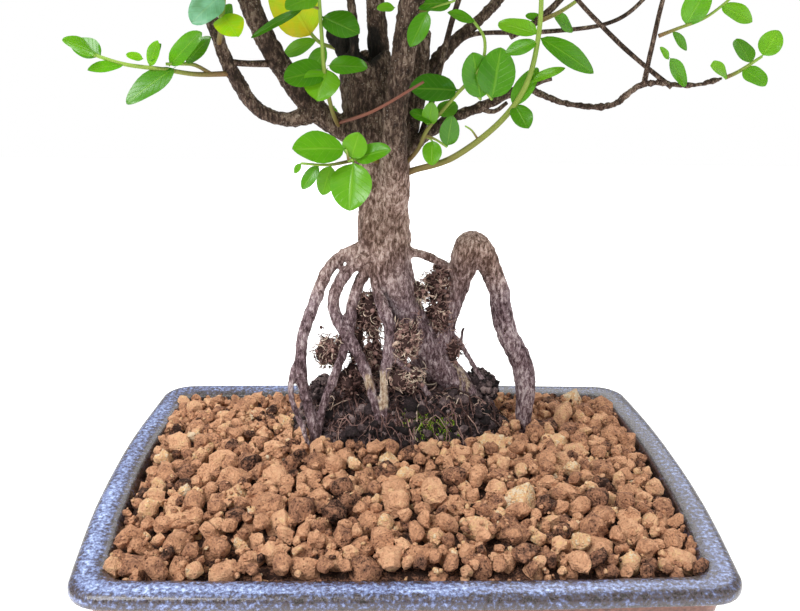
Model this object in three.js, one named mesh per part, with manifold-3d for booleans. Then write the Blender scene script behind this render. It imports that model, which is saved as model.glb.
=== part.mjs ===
// Sweet plum bonsai (Sageretia) with exposed roots in a glazed rectangular pot.
// Millimetres, +Z up, +X right, +Y away from the viewer, the origin on the table under the pot's middle.
import * as THREE from 'three';
import { mergeVertices } from 'three/addons/utils/BufferGeometryUtils.js';
import Module from 'manifold-3d';

const wasm = await Module();
wasm.setup();

// Driving dimensions
// Shared volume, in cubic millimetres, that counts as none
const NO_VOLUME = 1e-6;
const CLEARANCE = 0.3;
const POT = {
  length: 260, width: 187, height: 68, corner: 14, bowEnds: 5, bowSides: 1.5,
  bodyFloor: 8, innerFloor: 13, footLeg: 34, footWidth: 12, footInset: 4,
  drainRadius: 9, drainX: 55,
};
// Pot wall from the underside, round the lip and down to the inner floor: [inset from the rim, height]
const POT_WALL = [
  [18, 8], [14.5, 14], [8, 42], [5.5, 60.5], [0.4, 62.3], [0, 65.2], [2.4, 68], [10.6, 67.6], [13, 65.4],
  [14.5, 60], [20, 13],
];
const MESH_SHEET = { side: 38, thickness: 1, window: 14, bar: 3 };
const SOIL = { edge: 64, crown: 12.5, pitch: 13.2, high: 2.4, low: 1.8, jitter: 1.8 };
const BALL = {
  x: 0, y: 37, radiusX: 52, radiusY: 33, bottom: 36, shoulder: 73, mound: 24, flatness: 3.4, sides: 16,
};
const CROWN = {
  centre: [-1, 0, 332], radii: [147, 119, 73], sprays: 32, lowest: 1.45, inner: 0.55, outer: 0.88,
  stemRadius: 0.95, tipRadius: 0.6, twigRadius: 1.4, shootAt: [0.24, 0.52], shootReach: 0.62,
  stemPairs: 4, shootPairs: 3, twigFloor: 262, twigRise: 0.06, twigSweep: 0.2,
  farWeight: 0.35, bendAt: [0.35, 0.7],
};
// A leaf's rows are [share of its length, half its breadth as a share of its width]
const LEAF = {
  thickness: 0.6, shortest: 14, longest: 22, slender: 0.56, round: 0.72, droop: 0.16,
  nearRows: [[0.38, 0.5], [0.74, 0.36]], crownRows: [[0.5, 0.5]], nodeLength: 1.8, pairTurn: 1.2,
  leastOpen: 0.1, leastFacing: 0.15, mostTries: 4, strayCost: 0.25, merge: 3.5, collar: 1.5, mostBent: 0.96,
};
const GOLDEN_ANGLE = Math.PI * (3 - Math.sqrt(5));
const SEED = 4183;
const UP = new THREE.Vector3(0, 0, 1);
const FIRST_SIDE = new THREE.Vector3(0.3, 1, 0.2);
const VIEWER_SIDE = new THREE.Vector3(0, -0.76, 0.65);

// Each limb is its route, [x, y, z, radius] at each point, from where it leaves its parent
const TRUNK = [
  [40, 38, 58, 5.6], [37, 37, 76, 6.4], [31, 36, 88, 7.2], [23, 35, 98, 8.2], [15, 34, 107, 8.8],
  [10, 33, 117, 8.0], [4, 32, 127, 7.8], [0, 31, 137, 7.8], [-4, 31, 147, 8.8], [-8, 32, 158, 11],
  [-9, 32, 170, 11.6], [-9, 32, 184, 11], [-9, 32, 196, 11.2], [-11, 32, 207, 11.8],
  [-14, 33, 222, 12.4], [-18, 34, 246, 11.2],
];
const ROOTS = [
  [[-12, 30, 166, 3.6], [-20, 28, 163, 3.2], [-27, 27, 160, 3], [-33, 25, 155, 2.9], [-37, 24, 147, 2.8],
    [-41, 22, 136, 2.8], [-45, 20, 125, 2.8], [-46, 18, 113, 2.7], [-45, 15, 100, 2.6],
    [-41, 13, 84, 2.4],
    [-39, 12, 64, 2]],
  [[-46, 18, 116, 1.9], [-50, 15, 107, 1.5], [-50, 12, 96, 1.4], [-45, 9, 83, 1.3], [-41, 8, 66, 1.1]],
  [[-7, 28, 164, 3.2], [-14, 25, 161, 3], [-20, 24, 158, 2.9], [-26, 23, 153, 2.8], [-30, 22, 146, 2.7],
    [-31, 21, 137, 2.7], [-28, 19, 129, 2.7], [-22, 17, 121, 2.7], [-17, 15, 110, 2.6],
    [-14, 14, 99, 2.3],
    [-11, 13, 87, 1.8], [-9, 13, 68, 1.4]],
  [[-9, 28, 159, 3.2], [-16, 26, 154, 3], [-20, 24, 148, 2.8], [-23, 22, 138, 2.7], [-24, 21, 127, 2.6],
    [-27, 19, 117, 2.2], [-31, 17, 105, 2], [-36, 16, 92, 1.9], [-38, 15, 79, 1.7], [-38, 15, 64, 1.4]],
  [[-8, 27, 159, 2.6], [-12, 24, 153, 2.4], [-12, 22, 146, 2.4], [-8, 20, 135, 3], [-5, 19, 126, 3.1],
    [-6, 18, 117, 3], [-8, 16, 107, 2.3], [-8, 15, 96, 2.1], [-7, 13, 82, 2], [-5, 13, 65, 1.8]],
  [[-6, 18, 118, 2.4], [-1, 18, 112, 1.8], [6, 19, 104, 1.6], [12, 20, 96, 1.5], [17, 22, 84, 1.4],
    [19, 23, 72, 1.2]],
  [[-2, 33, 161, 2.6], [6, 33, 160, 2.2], [14, 34, 157, 2.1], [21, 36, 152, 2.2], [27, 36, 147, 2]],
  [[13, 35, 105, 5.2], [18, 35, 114, 5.8], [20.8, 36, 125, 5.2], [23.6, 36, 134, 4.9], [26.2, 36, 142, 4.9],
    [27.7, 36, 149, 5.5], [28.7, 36, 156, 6.4], [31.2, 36, 162.4, 7.4], [36.4, 36, 160.3, 6.1],
    [41.6, 36, 150.5, 5], [45.5, 36, 142, 4.8], [47.5, 35, 131, 4.8], [51, 35, 119, 4.9],
    [58, 35, 106, 5.1], [61, 34, 93, 5.1], [61, 34, 79, 4], [62, 34, 60, 3]],
  [[24, 35, 119, 2], [30, 36, 112, 1.4], [37, 37, 100, 1.3], [43, 38, 89, 1.3], [47, 38, 78, 1.2],
    [49, 38, 66, 1.1]],
  [[22, 36, 107, 1.1], [28, 37.5, 111, 0.9], [30, 38.5, 122, 0.8]],
];
// Knots of matted fine roots and crumb caught between the bare roots: [x, y, z, radius]
const ROOT_KNOTS = [
  [-36, 22, 117.5, 8], [-15, 25, 129, 7.5], [-14, 24, 110, 9], [17, 36, 146, 8.5], [17, 32, 124, 8.5],
];
// Detail smaller than this is smoothed away
const WOOD_DETAIL = 0.16;
const FINE_DETAIL = 0.05;

// Lumps that stand higher on the root ball's mound
const BALL_LUMPS = [[39, 42, 88, 10.5], [-36, 34, 90, 8.5]];

const LIMBS = {
  leader: [[-7, 30, 176, 6.5], [-5, 26, 189, 7.6], [-5, 21, 200, 6.8], [-5, 18, 212, 5.2],
    [-5, 16, 228, 4.8], [-3, 16, 242, 4.9],
    [0, 15, 262, 5.3], [2, 13, 280, 4.8], [5, 6, 308, 3.5], [4, 0, 336, 2.4], [-2, -4, 362, 1.4]],
  left: [[-12, 32, 203, 7], [-20, 30, 212, 5.4], [-29, 29, 217, 5], [-43, 27, 229, 4.7],
    [-55, 26, 246, 4.5],
    [-65, 24, 268, 4.2], [-72, 20, 288, 3.5], [-80, 8, 318, 2.3], [-80, 0, 342, 1.3]],
  leftOuter: [[-38, 27, 224, 4.4], [-45, 25, 221, 3.5], [-55, 24, 221, 3.1], [-65, 23, 227, 3],
    [-74, 21, 243, 2.9], [-78, 20, 256, 2.8], [-84, 18, 274, 2.6], [-95, 12, 290, 2.1],
    [-110, 4, 304, 1.3]],
  leftLink: [[-76, 21, 244, 1.5], [-66, 22, 243, 1.3], [-55, 26, 243, 1.6]],
  pale: [[-21, 28, 226, 2.8], [-22, 26, 240, 2.1], [-23, 26, 264, 2], [-28, 32, 290, 1.6],
    [-36, 48, 314, 1.1]],
  dark: [[-12, 34, 224, 5.6], [-11, 36, 238, 4.9], [-13, 36, 262, 4.1], [-17, 40, 290, 3.2],
    [-24, 46, 330, 1.9], [-24, 44, 354, 1.2]],
  snag: [[1, 33, 210, 3.8], [4.2, 33, 228, 4], [6.1, 33, 247, 3.9], [8, 34, 257, 2.2]],
  right: [[3, 35, 220, 3.6], [8, 37, 236, 3.2], [18, 40, 250, 2.9], [34, 43, 264, 2.4],
    [54, 48, 287, 1.8],
    [68, 52, 306, 1.2]],
  rightThin: [[22, 40, 253, 1.4], [32, 41, 256, 1.1], [60, 44, 257, 1], [88, 45, 261, 0.9],
    [103, 47, 271, 0.9], [114, 50, 288, 0.8]],
  rightLow: [[-8, 31, 199, 4], [0, 29, 206, 2.8], [15, 27, 219, 2.5], [32, 24, 227, 2.3],
    [49, 22, 235, 1.8],
    [55, 21, 233, 1.5], [68, 18, 229, 1.4], [85, 16, 229, 1.4], [97, 14, 238, 1.4], [116, 11, 238, 1.1],
    [128, 10, 241, 1]],
  rightRiser: [[97, 14, 237, 1.2], [98, 12, 252, 1], [101, 10, 276, 0.9], [108, 5, 296, 0.8]],
  rightCross: [[108, 12, 237, 1.1], [93, 15, 248, 1], [80, 18, 259, 1], [64, 20, 275, 0.9],
    [56, 18, 292, 0.8]],
  rightHook: [[31, 25, 226, 1.3], [37, 23, 225, 1], [42, 21, 229, 0.8]],
  rightStub: [[50, 22, 235, 1.4], [56, 20, 238, 1], [60, 20, 239, 0.8]],
  greenRear: [[-3, 28, 200, 2], [4, 31, 208, 1.4], [10, 33, 223, 1.3], [15, 33, 245, 1.3],
    [20, 35, 265, 1.2],
    [28, 38, 286, 1], [38, 40, 304, 0.8]],
  oliveRiser: [[45, 43, 255, 1.7], [54, 40, 260, 1.6], [67, 42, 272, 1.4], [78, 44, 290, 1]],
  front: [[3, 12, 284, 3], [2, -2, 293, 2.5], [-2, -26, 303, 1.9], [-8, -62, 314, 1.1]],
  frontRight: [[4, 8, 302, 2.6], [20, -8, 313, 2], [38, -28, 321, 1.5], [54, -48, 328, 1]],
  frontLeft: [[-69, 22, 280, 2.6], [-66, 4, 290, 2], [-62, -20, 299, 1.5], [-58, -46, 308, 1]],
  back: [[-15, 38, 280, 2.8], [-12, 58, 294, 2.1], [-8, 80, 306, 1.2]],
  backLeft: [[-27, 31, 286, 1.7], [-46, 50, 300, 1.5], [-68, 66, 310, 1]],
  backRight: [[52, 47, 284, 1.8], [50, 64, 298, 1.5], [48, 80, 308, 1]],
  inner: [[4, 8, 298, 2.8], [26, 9, 312, 2.2], [54, 6, 323, 1.7], [84, 2, 332, 1]],
};

// Leafy stems seen in the photograph: stems as limbs are, leaves as [base, tip, width]
const SEEN_SPRAYS = {
  spray_left_twig: {
    stems: [
      [[-74, 20, 239, 1.2], [-86, 15, 239, 1], [-98, 11, 241, 0.9], [-112, 7, 243, 0.8],
        [-124, 4, 247, 0.7]],
      [[-80, 17.5, 239, 0.8], [-86, 15.5, 242.5, 0.8], [-91, 14.5, 243, 0.7], [-97, 12, 243, 0.6]],
    ],
    leaves: [
      [[-93, 12, 242], [-111, 0, 230], 9], [[-96, 13, 242], [-83, 9, 256], 8.5],
      [[-90, 15, 243], [-79.5, 12, 254], 7],
      [[-103, 10, 242], [-99, 7, 252], 5], [[-112, 7, 243], [-124, -1, 242], 5],
      [[-120, 5, 246], [-132, 8, 252], 8],
      [[-122, 4, 247], [-130, -6, 253], 7],
    ],
  },
  spray_left_top: {
    stems: [[[-77, 20, 250, 1.2], [-74, 10, 258, 1], [-72, 6, 268, 0.9], [-70, 0, 282, 0.7]]],
    leaves: [
      [[-74, 12, 257], [-70, 8, 266], 6], [[-72, 6, 270], [-84, 0, 260], 12],
      [[-73, 8, 262], [-66, -6, 256], 10],
      [[-70, 0, 280], [-82, -8, 290], 12], [[-70, 0, 280], [-58, -10, 284], 10],
    ],
  },
  spray_left_inner: {
    stems: [
      [[-27, 30, 214, 1.1], [-31, 20, 224, 0.9], [-34, 16, 240, 0.9], [-35, 14, 256, 0.8],
        [-36, 12, 274, 0.7]],
      [[-29, 25, 219, 0.8], [-14, 10, 226, 0.7], [6, 8, 238, 0.6]],
    ],
    leaves: [
      [[-35, 13, 260], [-67, 3, 250], 8], [[-33, 17, 241], [-50, 11, 239], 12],
      [[-33, 17, 242], [-37, 7, 231], 13],
      [[-33, 17, 243], [-17, 12, 244], 8], [[-35, 14, 262], [-20, 8, 257], 11],
      [[-36, 12, 270], [-48, 4, 266], 9],
      [[-36, 12, 272], [-26, 4, 280], 11],
    ],
  },
  spray_left_pale: {
    stems: [[[-22, 27, 246, 1.1], [-30, 34, 249, 0.9], [-38, 37, 252, 0.8], [-46, 38, 262, 0.7]]],
    leaves: [
      [[-40, 37, 253], [-54, 33, 276], 19], [[-38, 37, 252], [-54, 40, 246], 7],
      [[-34, 36, 250], [-44, 41, 234], 8],
    ],
  },
  spray_front: {
    stems: [
      [[-10, 24, 203, 1.2], [-19, 12, 206, 0.9], [-24, 3, 207, 0.8]],
      [[-20, 10, 206.3, 0.8], [-32, 3, 205, 0.6], [-43, 0, 206, 0.5]],
    ],
    leaves: [
      [[-24, 3, 207], [-45, -6, 211], 15], [[-23, 4, 207], [-20, 3, 218], 9],
      [[-22, 6, 207], [-8, -1, 213], 8],
      [[-24, 3, 207], [-25, -8, 188], 18], [[-31, 3, 205], [-35, 1, 193], 7],
      [[-36, 2, 205], [-43, -1, 196], 5],
    ],
  },
  spray_right_low: {
    stems: [[[-2, 26, 200, 1.3], [5, 20, 209, 1], [9, 19, 218, 0.9], [19, 17, 231, 0.9],
      [29, 15, 243, 0.8],
      [31, 18, 254, 0.7], [26, 22, 262, 0.6]]],
    leaves: [
      [[21, 17, 234], [1, 12, 236], 12], [[9, 19, 217], [1, 17, 225], 6],
      [[9, 19, 219], [10, 14, 229], 6],
      [[13, 18, 223], [21, 24, 229], 7], [[9, 19, 218], [19, 12, 222], 9],
      [[7, 19, 213], [9, 12, 204], 9],
      [[24, 16, 237], [32, 9, 248], 14], [[29, 15, 243], [39, 10, 252], 12],
      [[27, 21, 261], [16, 17, 265], 5],
    ],
  },
  spray_shoot: {
    stems: [
      [[-3, 25, 197, 2], [4, 22, 200, 1.4], [20, 19, 206, 1.4], [38, 15, 221, 1.3], [48, 12, 237, 1.2],
        [51, 8, 256, 1.1], [50, 4, 276, 1], [44, -6, 304, 0.7]],
      [[30, 17, 214, 0.5], [27, 15, 218, 0.4], [24, 13, 220, 0.35]],
    ],
    leaves: [
      [[51, 8, 257], [36, 18, 262], 8], [[51, 8, 254], [38, 8, 250], 6], [[51, 8, 256], [74, 3, 244], 9],
      [[48, 12, 238], [62, 7, 245], 4], [[43, 14, 228], [52, 12, 244], 7],
      [[44, 14, 229], [49, 6, 221], 8],
      [[50, 4, 276], [62, -4, 282], 10], [[48, 0, 286], [36, -10, 292], 10],
      [[45, -4, 299], [56, -16, 304], 10],
      [[44, -6, 304], [36, -18, 312], 11],
    ],
  },
  spray_right_top: {
    stems: [[[56, 40, 261, 1.2], [66, 37, 266, 0.9], [76, 35, 274, 0.8], [88, 30, 288, 0.6]]],
    leaves: [
      [[62, 38, 264], [73, 42, 258], 7], [[76, 35, 274], [88, 44, 278], 9],
      [[80, 33, 279], [76, 22, 288], 9],
      [[88, 30, 288], [100, 26, 298], 10],
    ],
  },
  spray_far_twig: {
    stems: [[[100, 11, 257, 0.9], [107, 10, 260, 0.7], [118, 8, 265, 0.6], [130, 6, 276, 0.5]]],
    leaves: [
      [[110, 10, 261], [115, 4, 276], 9], [[105, 10, 259], [112, 9, 252], 4],
      [[122, 7, 269], [134, 2, 264], 8],
      [[128, 6, 274], [140, 4, 282], 8],
    ],
  },
  spray_far_tip: {
    stems: [[[128.8, 10, 241.2, 0.9], [134, 9, 244, 0.8], [142, 8, 250, 0.6]]],
    leaves: [
      [[130, 10, 242], [121, 4, 247], 7], [[135, 9, 245], [143, 2, 240], 8],
      [[138, 8, 247], [134, 16, 257], 7],
      [[142, 8, 250], [146.5, 6, 260], 8],
    ],
  },
};

// A closed body as a manifold-3d solid, and back
function toSolid(geometry) {
  const bare = geometry.clone();
  bare.deleteAttribute('normal');
  bare.deleteAttribute('uv');
  const merged = mergeVertices(bare, 1e-4);
  return new wasm.Manifold(new wasm.Mesh({
    numProp: 3,
    vertProperties: new Float32Array(merged.attributes.position.array),
    triVerts: new Uint32Array(merged.index.array),
  }));
}

function toGeometry(solid) {
  const mesh = solid.getMesh();
  const geometry = new THREE.BufferGeometry();
  geometry.setAttribute('position', new THREE.BufferAttribute(new Float32Array(mesh.vertProperties), 3));
  geometry.setIndex(new THREE.BufferAttribute(new Uint32Array(mesh.triVerts), 1));
  geometry.computeVertexNormals();
  return geometry;
}

function join(solids) {
  return wasm.Manifold.union(solids);
}

function bodyFrom(points, indices) {
  const geometry = new THREE.BufferGeometry();
  const numbers = points.flatMap((p) => p.toArray());
  geometry.setAttribute('position', new THREE.Float32BufferAttribute(numbers, 3));
  geometry.setIndex(indices);
  return geometry;
}

// Rings of equal count, joined in order, with a flat fan over each end
function skin(rings) {
  const count = rings[0].length;
  const indices = [];
  for (let row = 0; row < rings.length - 1; row += 1) {
    for (let k = 0; k < count; k += 1) {
      const a = row * count + k;
      const b = row * count + ((k + 1) % count);
      indices.push(a, b, a + count);
      indices.push(b, b + count, a + count);
    }
  }
  const last = (rings.length - 1) * count;
  for (let k = 1; k < count - 1; k += 1) {
    indices.push(0, k + 1, k);
    indices.push(last, last + k, last + k + 1);
  }
  return bodyFrom(rings.flat(), indices);
}

// Seeded draws between 0 and 1, by a linear congruence, the first few thrown away
function makeDraw(seed) {
  let state = seed;
  const draw = () => {
    state = (state * 1664525 + 1013904223) % 4294967296;
    return state / 4294967296;
  };
  for (let k = 0; k < 4; k += 1) draw();
  return draw;
}

// A route through [x, y, z, radius] points, as a uniform Catmull-Rom curve
class Route {
  constructor(points) {
    this.points = points.map(([x, y, z]) => new THREE.Vector3(x, y, z));
    this.radii = points.map((p) => p[3]);
    this.curve = new THREE.CatmullRomCurve3(this.points, false, 'catmullrom', 0.5);
  }

  at(t) {
    return this.curve.getPoint(t);
  }

  radiusAt(t) {
    const place = t * (this.radii.length - 1);
    const k = Math.min(Math.floor(place), this.radii.length - 2);
    return THREE.MathUtils.lerp(this.radii[k], this.radii[k + 1], place - k);
  }

  // A closed tube: each ring stands square to the route, turned as little as possible from the last
  tube({ sides, steps, extra = 0, flute = 0, ragged = 0 }) {
    const rings = [];
    let side = null;
    for (let row = 0; row <= steps; row += 1) {
      const t = row / steps;
      const centre = this.at(t);
      const ahead = this.curve.getTangent(t).normalize();
      side = side ?? FIRST_SIDE;
      side = side.clone().addScaledVector(ahead, -side.dot(ahead)).normalize();
      const other = new THREE.Vector3().crossVectors(ahead, side);
      const ring = [];
      for (let k = 0; k < sides; k += 1) {
        const angle = (k / sides) * Math.PI * 2;
        const radius = (this.radiusAt(t) + extra) * (1 + flute * Math.cos(3 * angle + 5 * t));
        const point = centre.clone().addScaledVector(side, Math.cos(angle) * radius);
        point.addScaledVector(other, Math.sin(angle) * radius);
        point.addScaledVector(ahead, row === steps ? ragged * Math.sin(2.6 * k) : 0);
        ring.push(point);
      }
      rings.push(ring);
    }
    return skin(rings);
  }
}

// The pot's outline, a rectangle with round corners and slightly bowed sides, inset from the rim
function potRing(inset, z) {
  const halfX = POT.length / 2 - POT.bowEnds - inset;
  const halfY = POT.width / 2 - POT.bowSides - inset;
  const corner = Math.max(POT.corner - inset * 0.4, 5);
  const ring = [];
  [[1, 1], [-1, 1], [-1, -1], [1, -1]].forEach(([signX, signY], quarter) => {
    for (let k = 0; k <= 3; k += 1) {
      const angle = (quarter + k / 3) * Math.PI / 2;
      const x = signX * (halfX - corner) + Math.cos(angle) * corner;
      ring.push(new THREE.Vector3(x, signY * (halfY - corner) + Math.sin(angle) * corner, z));
    }
    const isLongSide = quarter % 2 === 0;
    for (const along of isLongSide ? [0] : [0.4, -0.4]) {
      const bow = 1 - along * along;
      const x = isLongSide ? signX * (halfX - corner) * along : signX * (halfX + POT.bowEnds * bow);
      const y = isLongSide ? signY * (halfY + POT.bowSides * bow) : signY * (halfY - corner) * along;
      ring.push(new THREE.Vector3(x, y, z));
    }
  });
  return ring;
}

// A flat plate of the given outline, from the table up
function plate(outline, thickness) {
  const shape = new THREE.Shape(outline.map(([x, y]) => new THREE.Vector2(x, y)));
  return new THREE.ExtrudeGeometry(shape, { depth: thickness, bevelEnabled: false });
}

// Pot: one wall profile carried round the outline, a foot at each corner, two drain holes
function makePot() {
  const body = toSolid(skin(POT_WALL.map(([inset, z]) => potRing(inset, z))));
  const [baseInset] = POT_WALL[0];
  const baseX = POT.length / 2 - POT.bowEnds - baseInset - POT.footInset;
  const baseY = POT.width / 2 - POT.bowSides - baseInset - POT.footInset;
  const feet = [];
  for (const signX of [-1, 1]) {
    for (const signY of [-1, 1]) {
      const outline = [
        [0, 0], [POT.footLeg, 0], [POT.footLeg, POT.footWidth], [POT.footWidth, POT.footWidth],
        [POT.footWidth, POT.footLeg], [0, POT.footLeg],
      ].map(([x, y]) => [signX * (baseX - x), signY * (baseY - y)]);
      const turned = signX * signY > 0 ? outline : outline.reverse();
      feet.push(toSolid(plate(turned, POT.bodyFloor + 1)));
    }
  }
  const drains = [-1, 1].map((side) => {
    const drill = new THREE.CylinderGeometry(POT.drainRadius, POT.drainRadius, POT.innerFloor * 2, 14);
    return toSolid(drill.rotateX(Math.PI / 2).translate(side * POT.drainX, 0, POT.innerFloor));
  });
  return join([body, ...feet]).subtract(join(drains));
}

// Plastic mesh laid over a drain hole, so the grit stays in
function makeDrainMesh(centreX) {
  const { side, window, bar, thickness } = MESH_SHEET;
  const level = POT.innerFloor + CLEARANCE + thickness / 2;
  const sheet = new THREE.BoxGeometry(side, side, thickness).translate(centreX, 0, level);
  const windows = [];
  for (const column of [-0.5, 0.5]) {
    for (const row of [-0.5, 0.5]) {
      const cutter = new THREE.BoxGeometry(window, window, thickness * 3);
      cutter.translate(centreX + column * (window + bar), row * (window + bar), level);
      windows.push(toSolid(cutter));
    }
  }
  return toSolid(sheet).subtract(join(windows));
}

// Height of the grit's surface: a low dome, highest under the tree
function soilHeight(x, y) {
  const acrossX = (2 * x / POT.length) ** 2;
  const acrossY = (2 * y / POT.width) ** 2;
  return SOIL.edge + SOIL.crown * Math.max(1 - acrossX, 0) * Math.max(1 - acrossY, 0);
}

// Grit: a triangular lattice with one point in three raised as a granule's crown, inside the pot's walls
function makeGrit() {
  const draw = makeDraw(SEED);
  const rowPitch = SOIL.pitch * Math.sqrt(3) / 2;
  const columns = Math.ceil(POT.length / SOIL.pitch) + 2;
  const rows = Math.ceil(POT.width / rowPitch) + 2;
  const top = [];
  for (let row = 0; row < rows; row += 1) {
    for (let column = 0; column < columns; column += 1) {
      const shift = (row % 2) / 2;
      const x = (column + shift - columns / 2) * SOIL.pitch + (draw() - 0.5) * 2 * SOIL.jitter;
      const y = (row - (rows - 1) / 2) * rowPitch + (draw() - 0.5) * 2 * SOIL.jitter;
      const isCrown = (column - Math.floor(row / 2) + 2 * row + 300) % 3 === 0;
      const relief = isCrown ? SOIL.high : -SOIL.low;
      top.push(new THREE.Vector3(x, y, soilHeight(x, y) + relief + (draw() - 0.5) * SOIL.jitter));
    }
  }
  const bottom = top.map((p) => new THREE.Vector3(p.x, p.y, 0));
  const indices = [];
  const put = (a, b, c) => {
    indices.push(a, b, c);
    indices.push(c + top.length, b + top.length, a + top.length);
  };
  for (let row = 0; row < rows - 1; row += 1) {
    for (let column = 0; column < columns - 1; column += 1) {
      const a = row * columns + column;
      const d = a + columns;
      if (row % 2 === 0) {
        put(a, a + 1, d);
        put(a + 1, d + 1, d);
      } else {
        put(a, d + 1, d);
        put(a, a + 1, d + 1);
      }
    }
  }
  const wall = (a, b) => {
    indices.push(a, a + top.length, b + top.length);
    indices.push(a, b + top.length, b);
  };
  for (let column = 0; column < columns - 1; column += 1) {
    const far = (rows - 1) * columns + column;
    wall(column, column + 1);
    wall(far + 1, far);
  }
  for (let row = 0; row < rows - 1; row += 1) {
    const near = row * columns;
    wall(near + columns, near);
    wall(near + columns - 1, near + 2 * columns - 1);
  }
  const slab = toSolid(bodyFrom([...top, ...bottom], indices));
  const [innerWall, innerFloor] = POT_WALL.slice(-2);
  const cavity = toSolid(skin([
    potRing(innerFloor[0] + CLEARANCE, POT.innerFloor + MESH_SHEET.thickness + 2 * CLEARANCE),
    potRing(innerWall[0] + CLEARANCE, innerWall[1]),
    potRing(innerWall[0] + CLEARANCE, POT.height * 1.5),
  ]));
  return slab.intersect(cavity);
}

// A ring of the root ball's oval plan, scaled, with crumbs of the given size
function ballRing(scale, z, crumb, draw) {
  const ring = [];
  for (let k = 0; k < BALL.sides; k += 1) {
    const angle = (k / BALL.sides) * Math.PI * 2;
    const reach = scale + (draw() - 0.5) * crumb / BALL.radiusY;
    const x = BALL.x + Math.cos(angle) * BALL.radiusX * reach;
    const y = BALL.y + Math.sin(angle) * BALL.radiusY * reach;
    ring.push(new THREE.Vector3(x, y, z + (draw() - 0.5) * crumb));
  }
  return ring;
}

// Root ball: old dark compost, an oval plug in the grit with a crumbly mound on it
function makeRootBall() {
  const draw = makeDraw(SEED + 1);
  const rings = [ballRing(0.95, BALL.bottom, 0, draw), ballRing(1, BALL.shoulder, 0, draw)];
  for (const scale of [0.9, 0.7, 0.46, 0.22]) {
    rings.push(ballRing(scale, BALL.shoulder + BALL.mound * (1 - scale ** BALL.flatness), 3.4, draw));
  }
  return join([toSolid(skin(rings)), ...BALL_LUMPS.map(makeKnot)]);
}

// The plain pocket that the root ball stands in
function makePocket() {
  const draw = makeDraw(SEED + 1);
  const grown = 1 + 2.5 * CLEARANCE / BALL.radiusY;
  return toSolid(skin([
    ballRing(0.95 * grown, BALL.bottom - CLEARANCE, 0, draw),
    ballRing(grown, BALL.shoulder, 0, draw),
    ballRing(grown, POT.height * 2, 0, draw),
  ]));
}

// A knot of matted fine roots, an uneven ball
function makeKnot([x, y, z, radius], index) {
  const draw = makeDraw(SEED + 20 + index);
  const geometry = new THREE.IcosahedronGeometry(radius, 0);
  geometry.deleteAttribute('normal');
  geometry.deleteAttribute('uv');
  const merged = mergeVertices(geometry, 1e-3);
  const place = merged.attributes.position;
  for (let k = 0; k < place.count; k += 1) {
    const swell = 0.8 + 0.5 * draw();
    place.setXYZ(k, place.getX(k) * swell, place.getY(k) * swell, place.getZ(k) * swell * 1.15);
  }
  return toSolid(merged.translate(x, y, z));
}

function scaled(direction, factor) {
  const [x, y, z] = CROWN.centre;
  const [rx, ry, rz] = CROWN.radii;
  return new THREE.Vector3(
    x + direction.x * rx * factor,
    y + direction.y * ry * factor,
    z + direction.z * rz * factor,
  );
}

// Where each crown spray starts and ends: directions spread evenly round the upper crown
function crownSpray(index) {
  const level = 1 - (index + 0.5) * CROWN.lowest / CROWN.sprays;
  const around = index * GOLDEN_ANGLE;
  const ring = Math.sqrt(1 - level * level);
  const outward = new THREE.Vector3(ring * Math.cos(around), ring * Math.sin(around), level);
  return { outward, start: scaled(outward, CROWN.inner), end: scaled(outward, CROWN.outer) };
}

// The twig that carries a crown spray, from the nearest point of a limb to the spray's foot
function crownTwig({ outward, start, end }) {
  let best = null;
  for (const points of Object.values(LIMBS)) {
    const route = new Route(points);
    for (let t = 0.3; t <= 1; t += 0.05) {
      const place = route.at(t);
      const cost = place.distanceTo(start) + CROWN.farWeight * place.distanceTo(end);
      if (place.z > CROWN.twigFloor && (best === null || cost < best.cost)) {
        best = { cost, place, radius: route.radiusAt(t) };
      }
    }
  }
  const span = best.place.distanceTo(start);
  const middle = best.place.clone().lerp(start, 0.5).addScaledVector(outward, -CROWN.twigSweep * span);
  middle.z += CROWN.twigRise * span;
  const rootRadius = Math.min(best.radius * 0.9, CROWN.twigRadius);
  return new Route([
    [...best.place.toArray(), rootRadius],
    [...middle.toArray(), rootRadius * 0.85],
    [...start.toArray(), CROWN.stemRadius],
  ]);
}

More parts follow.
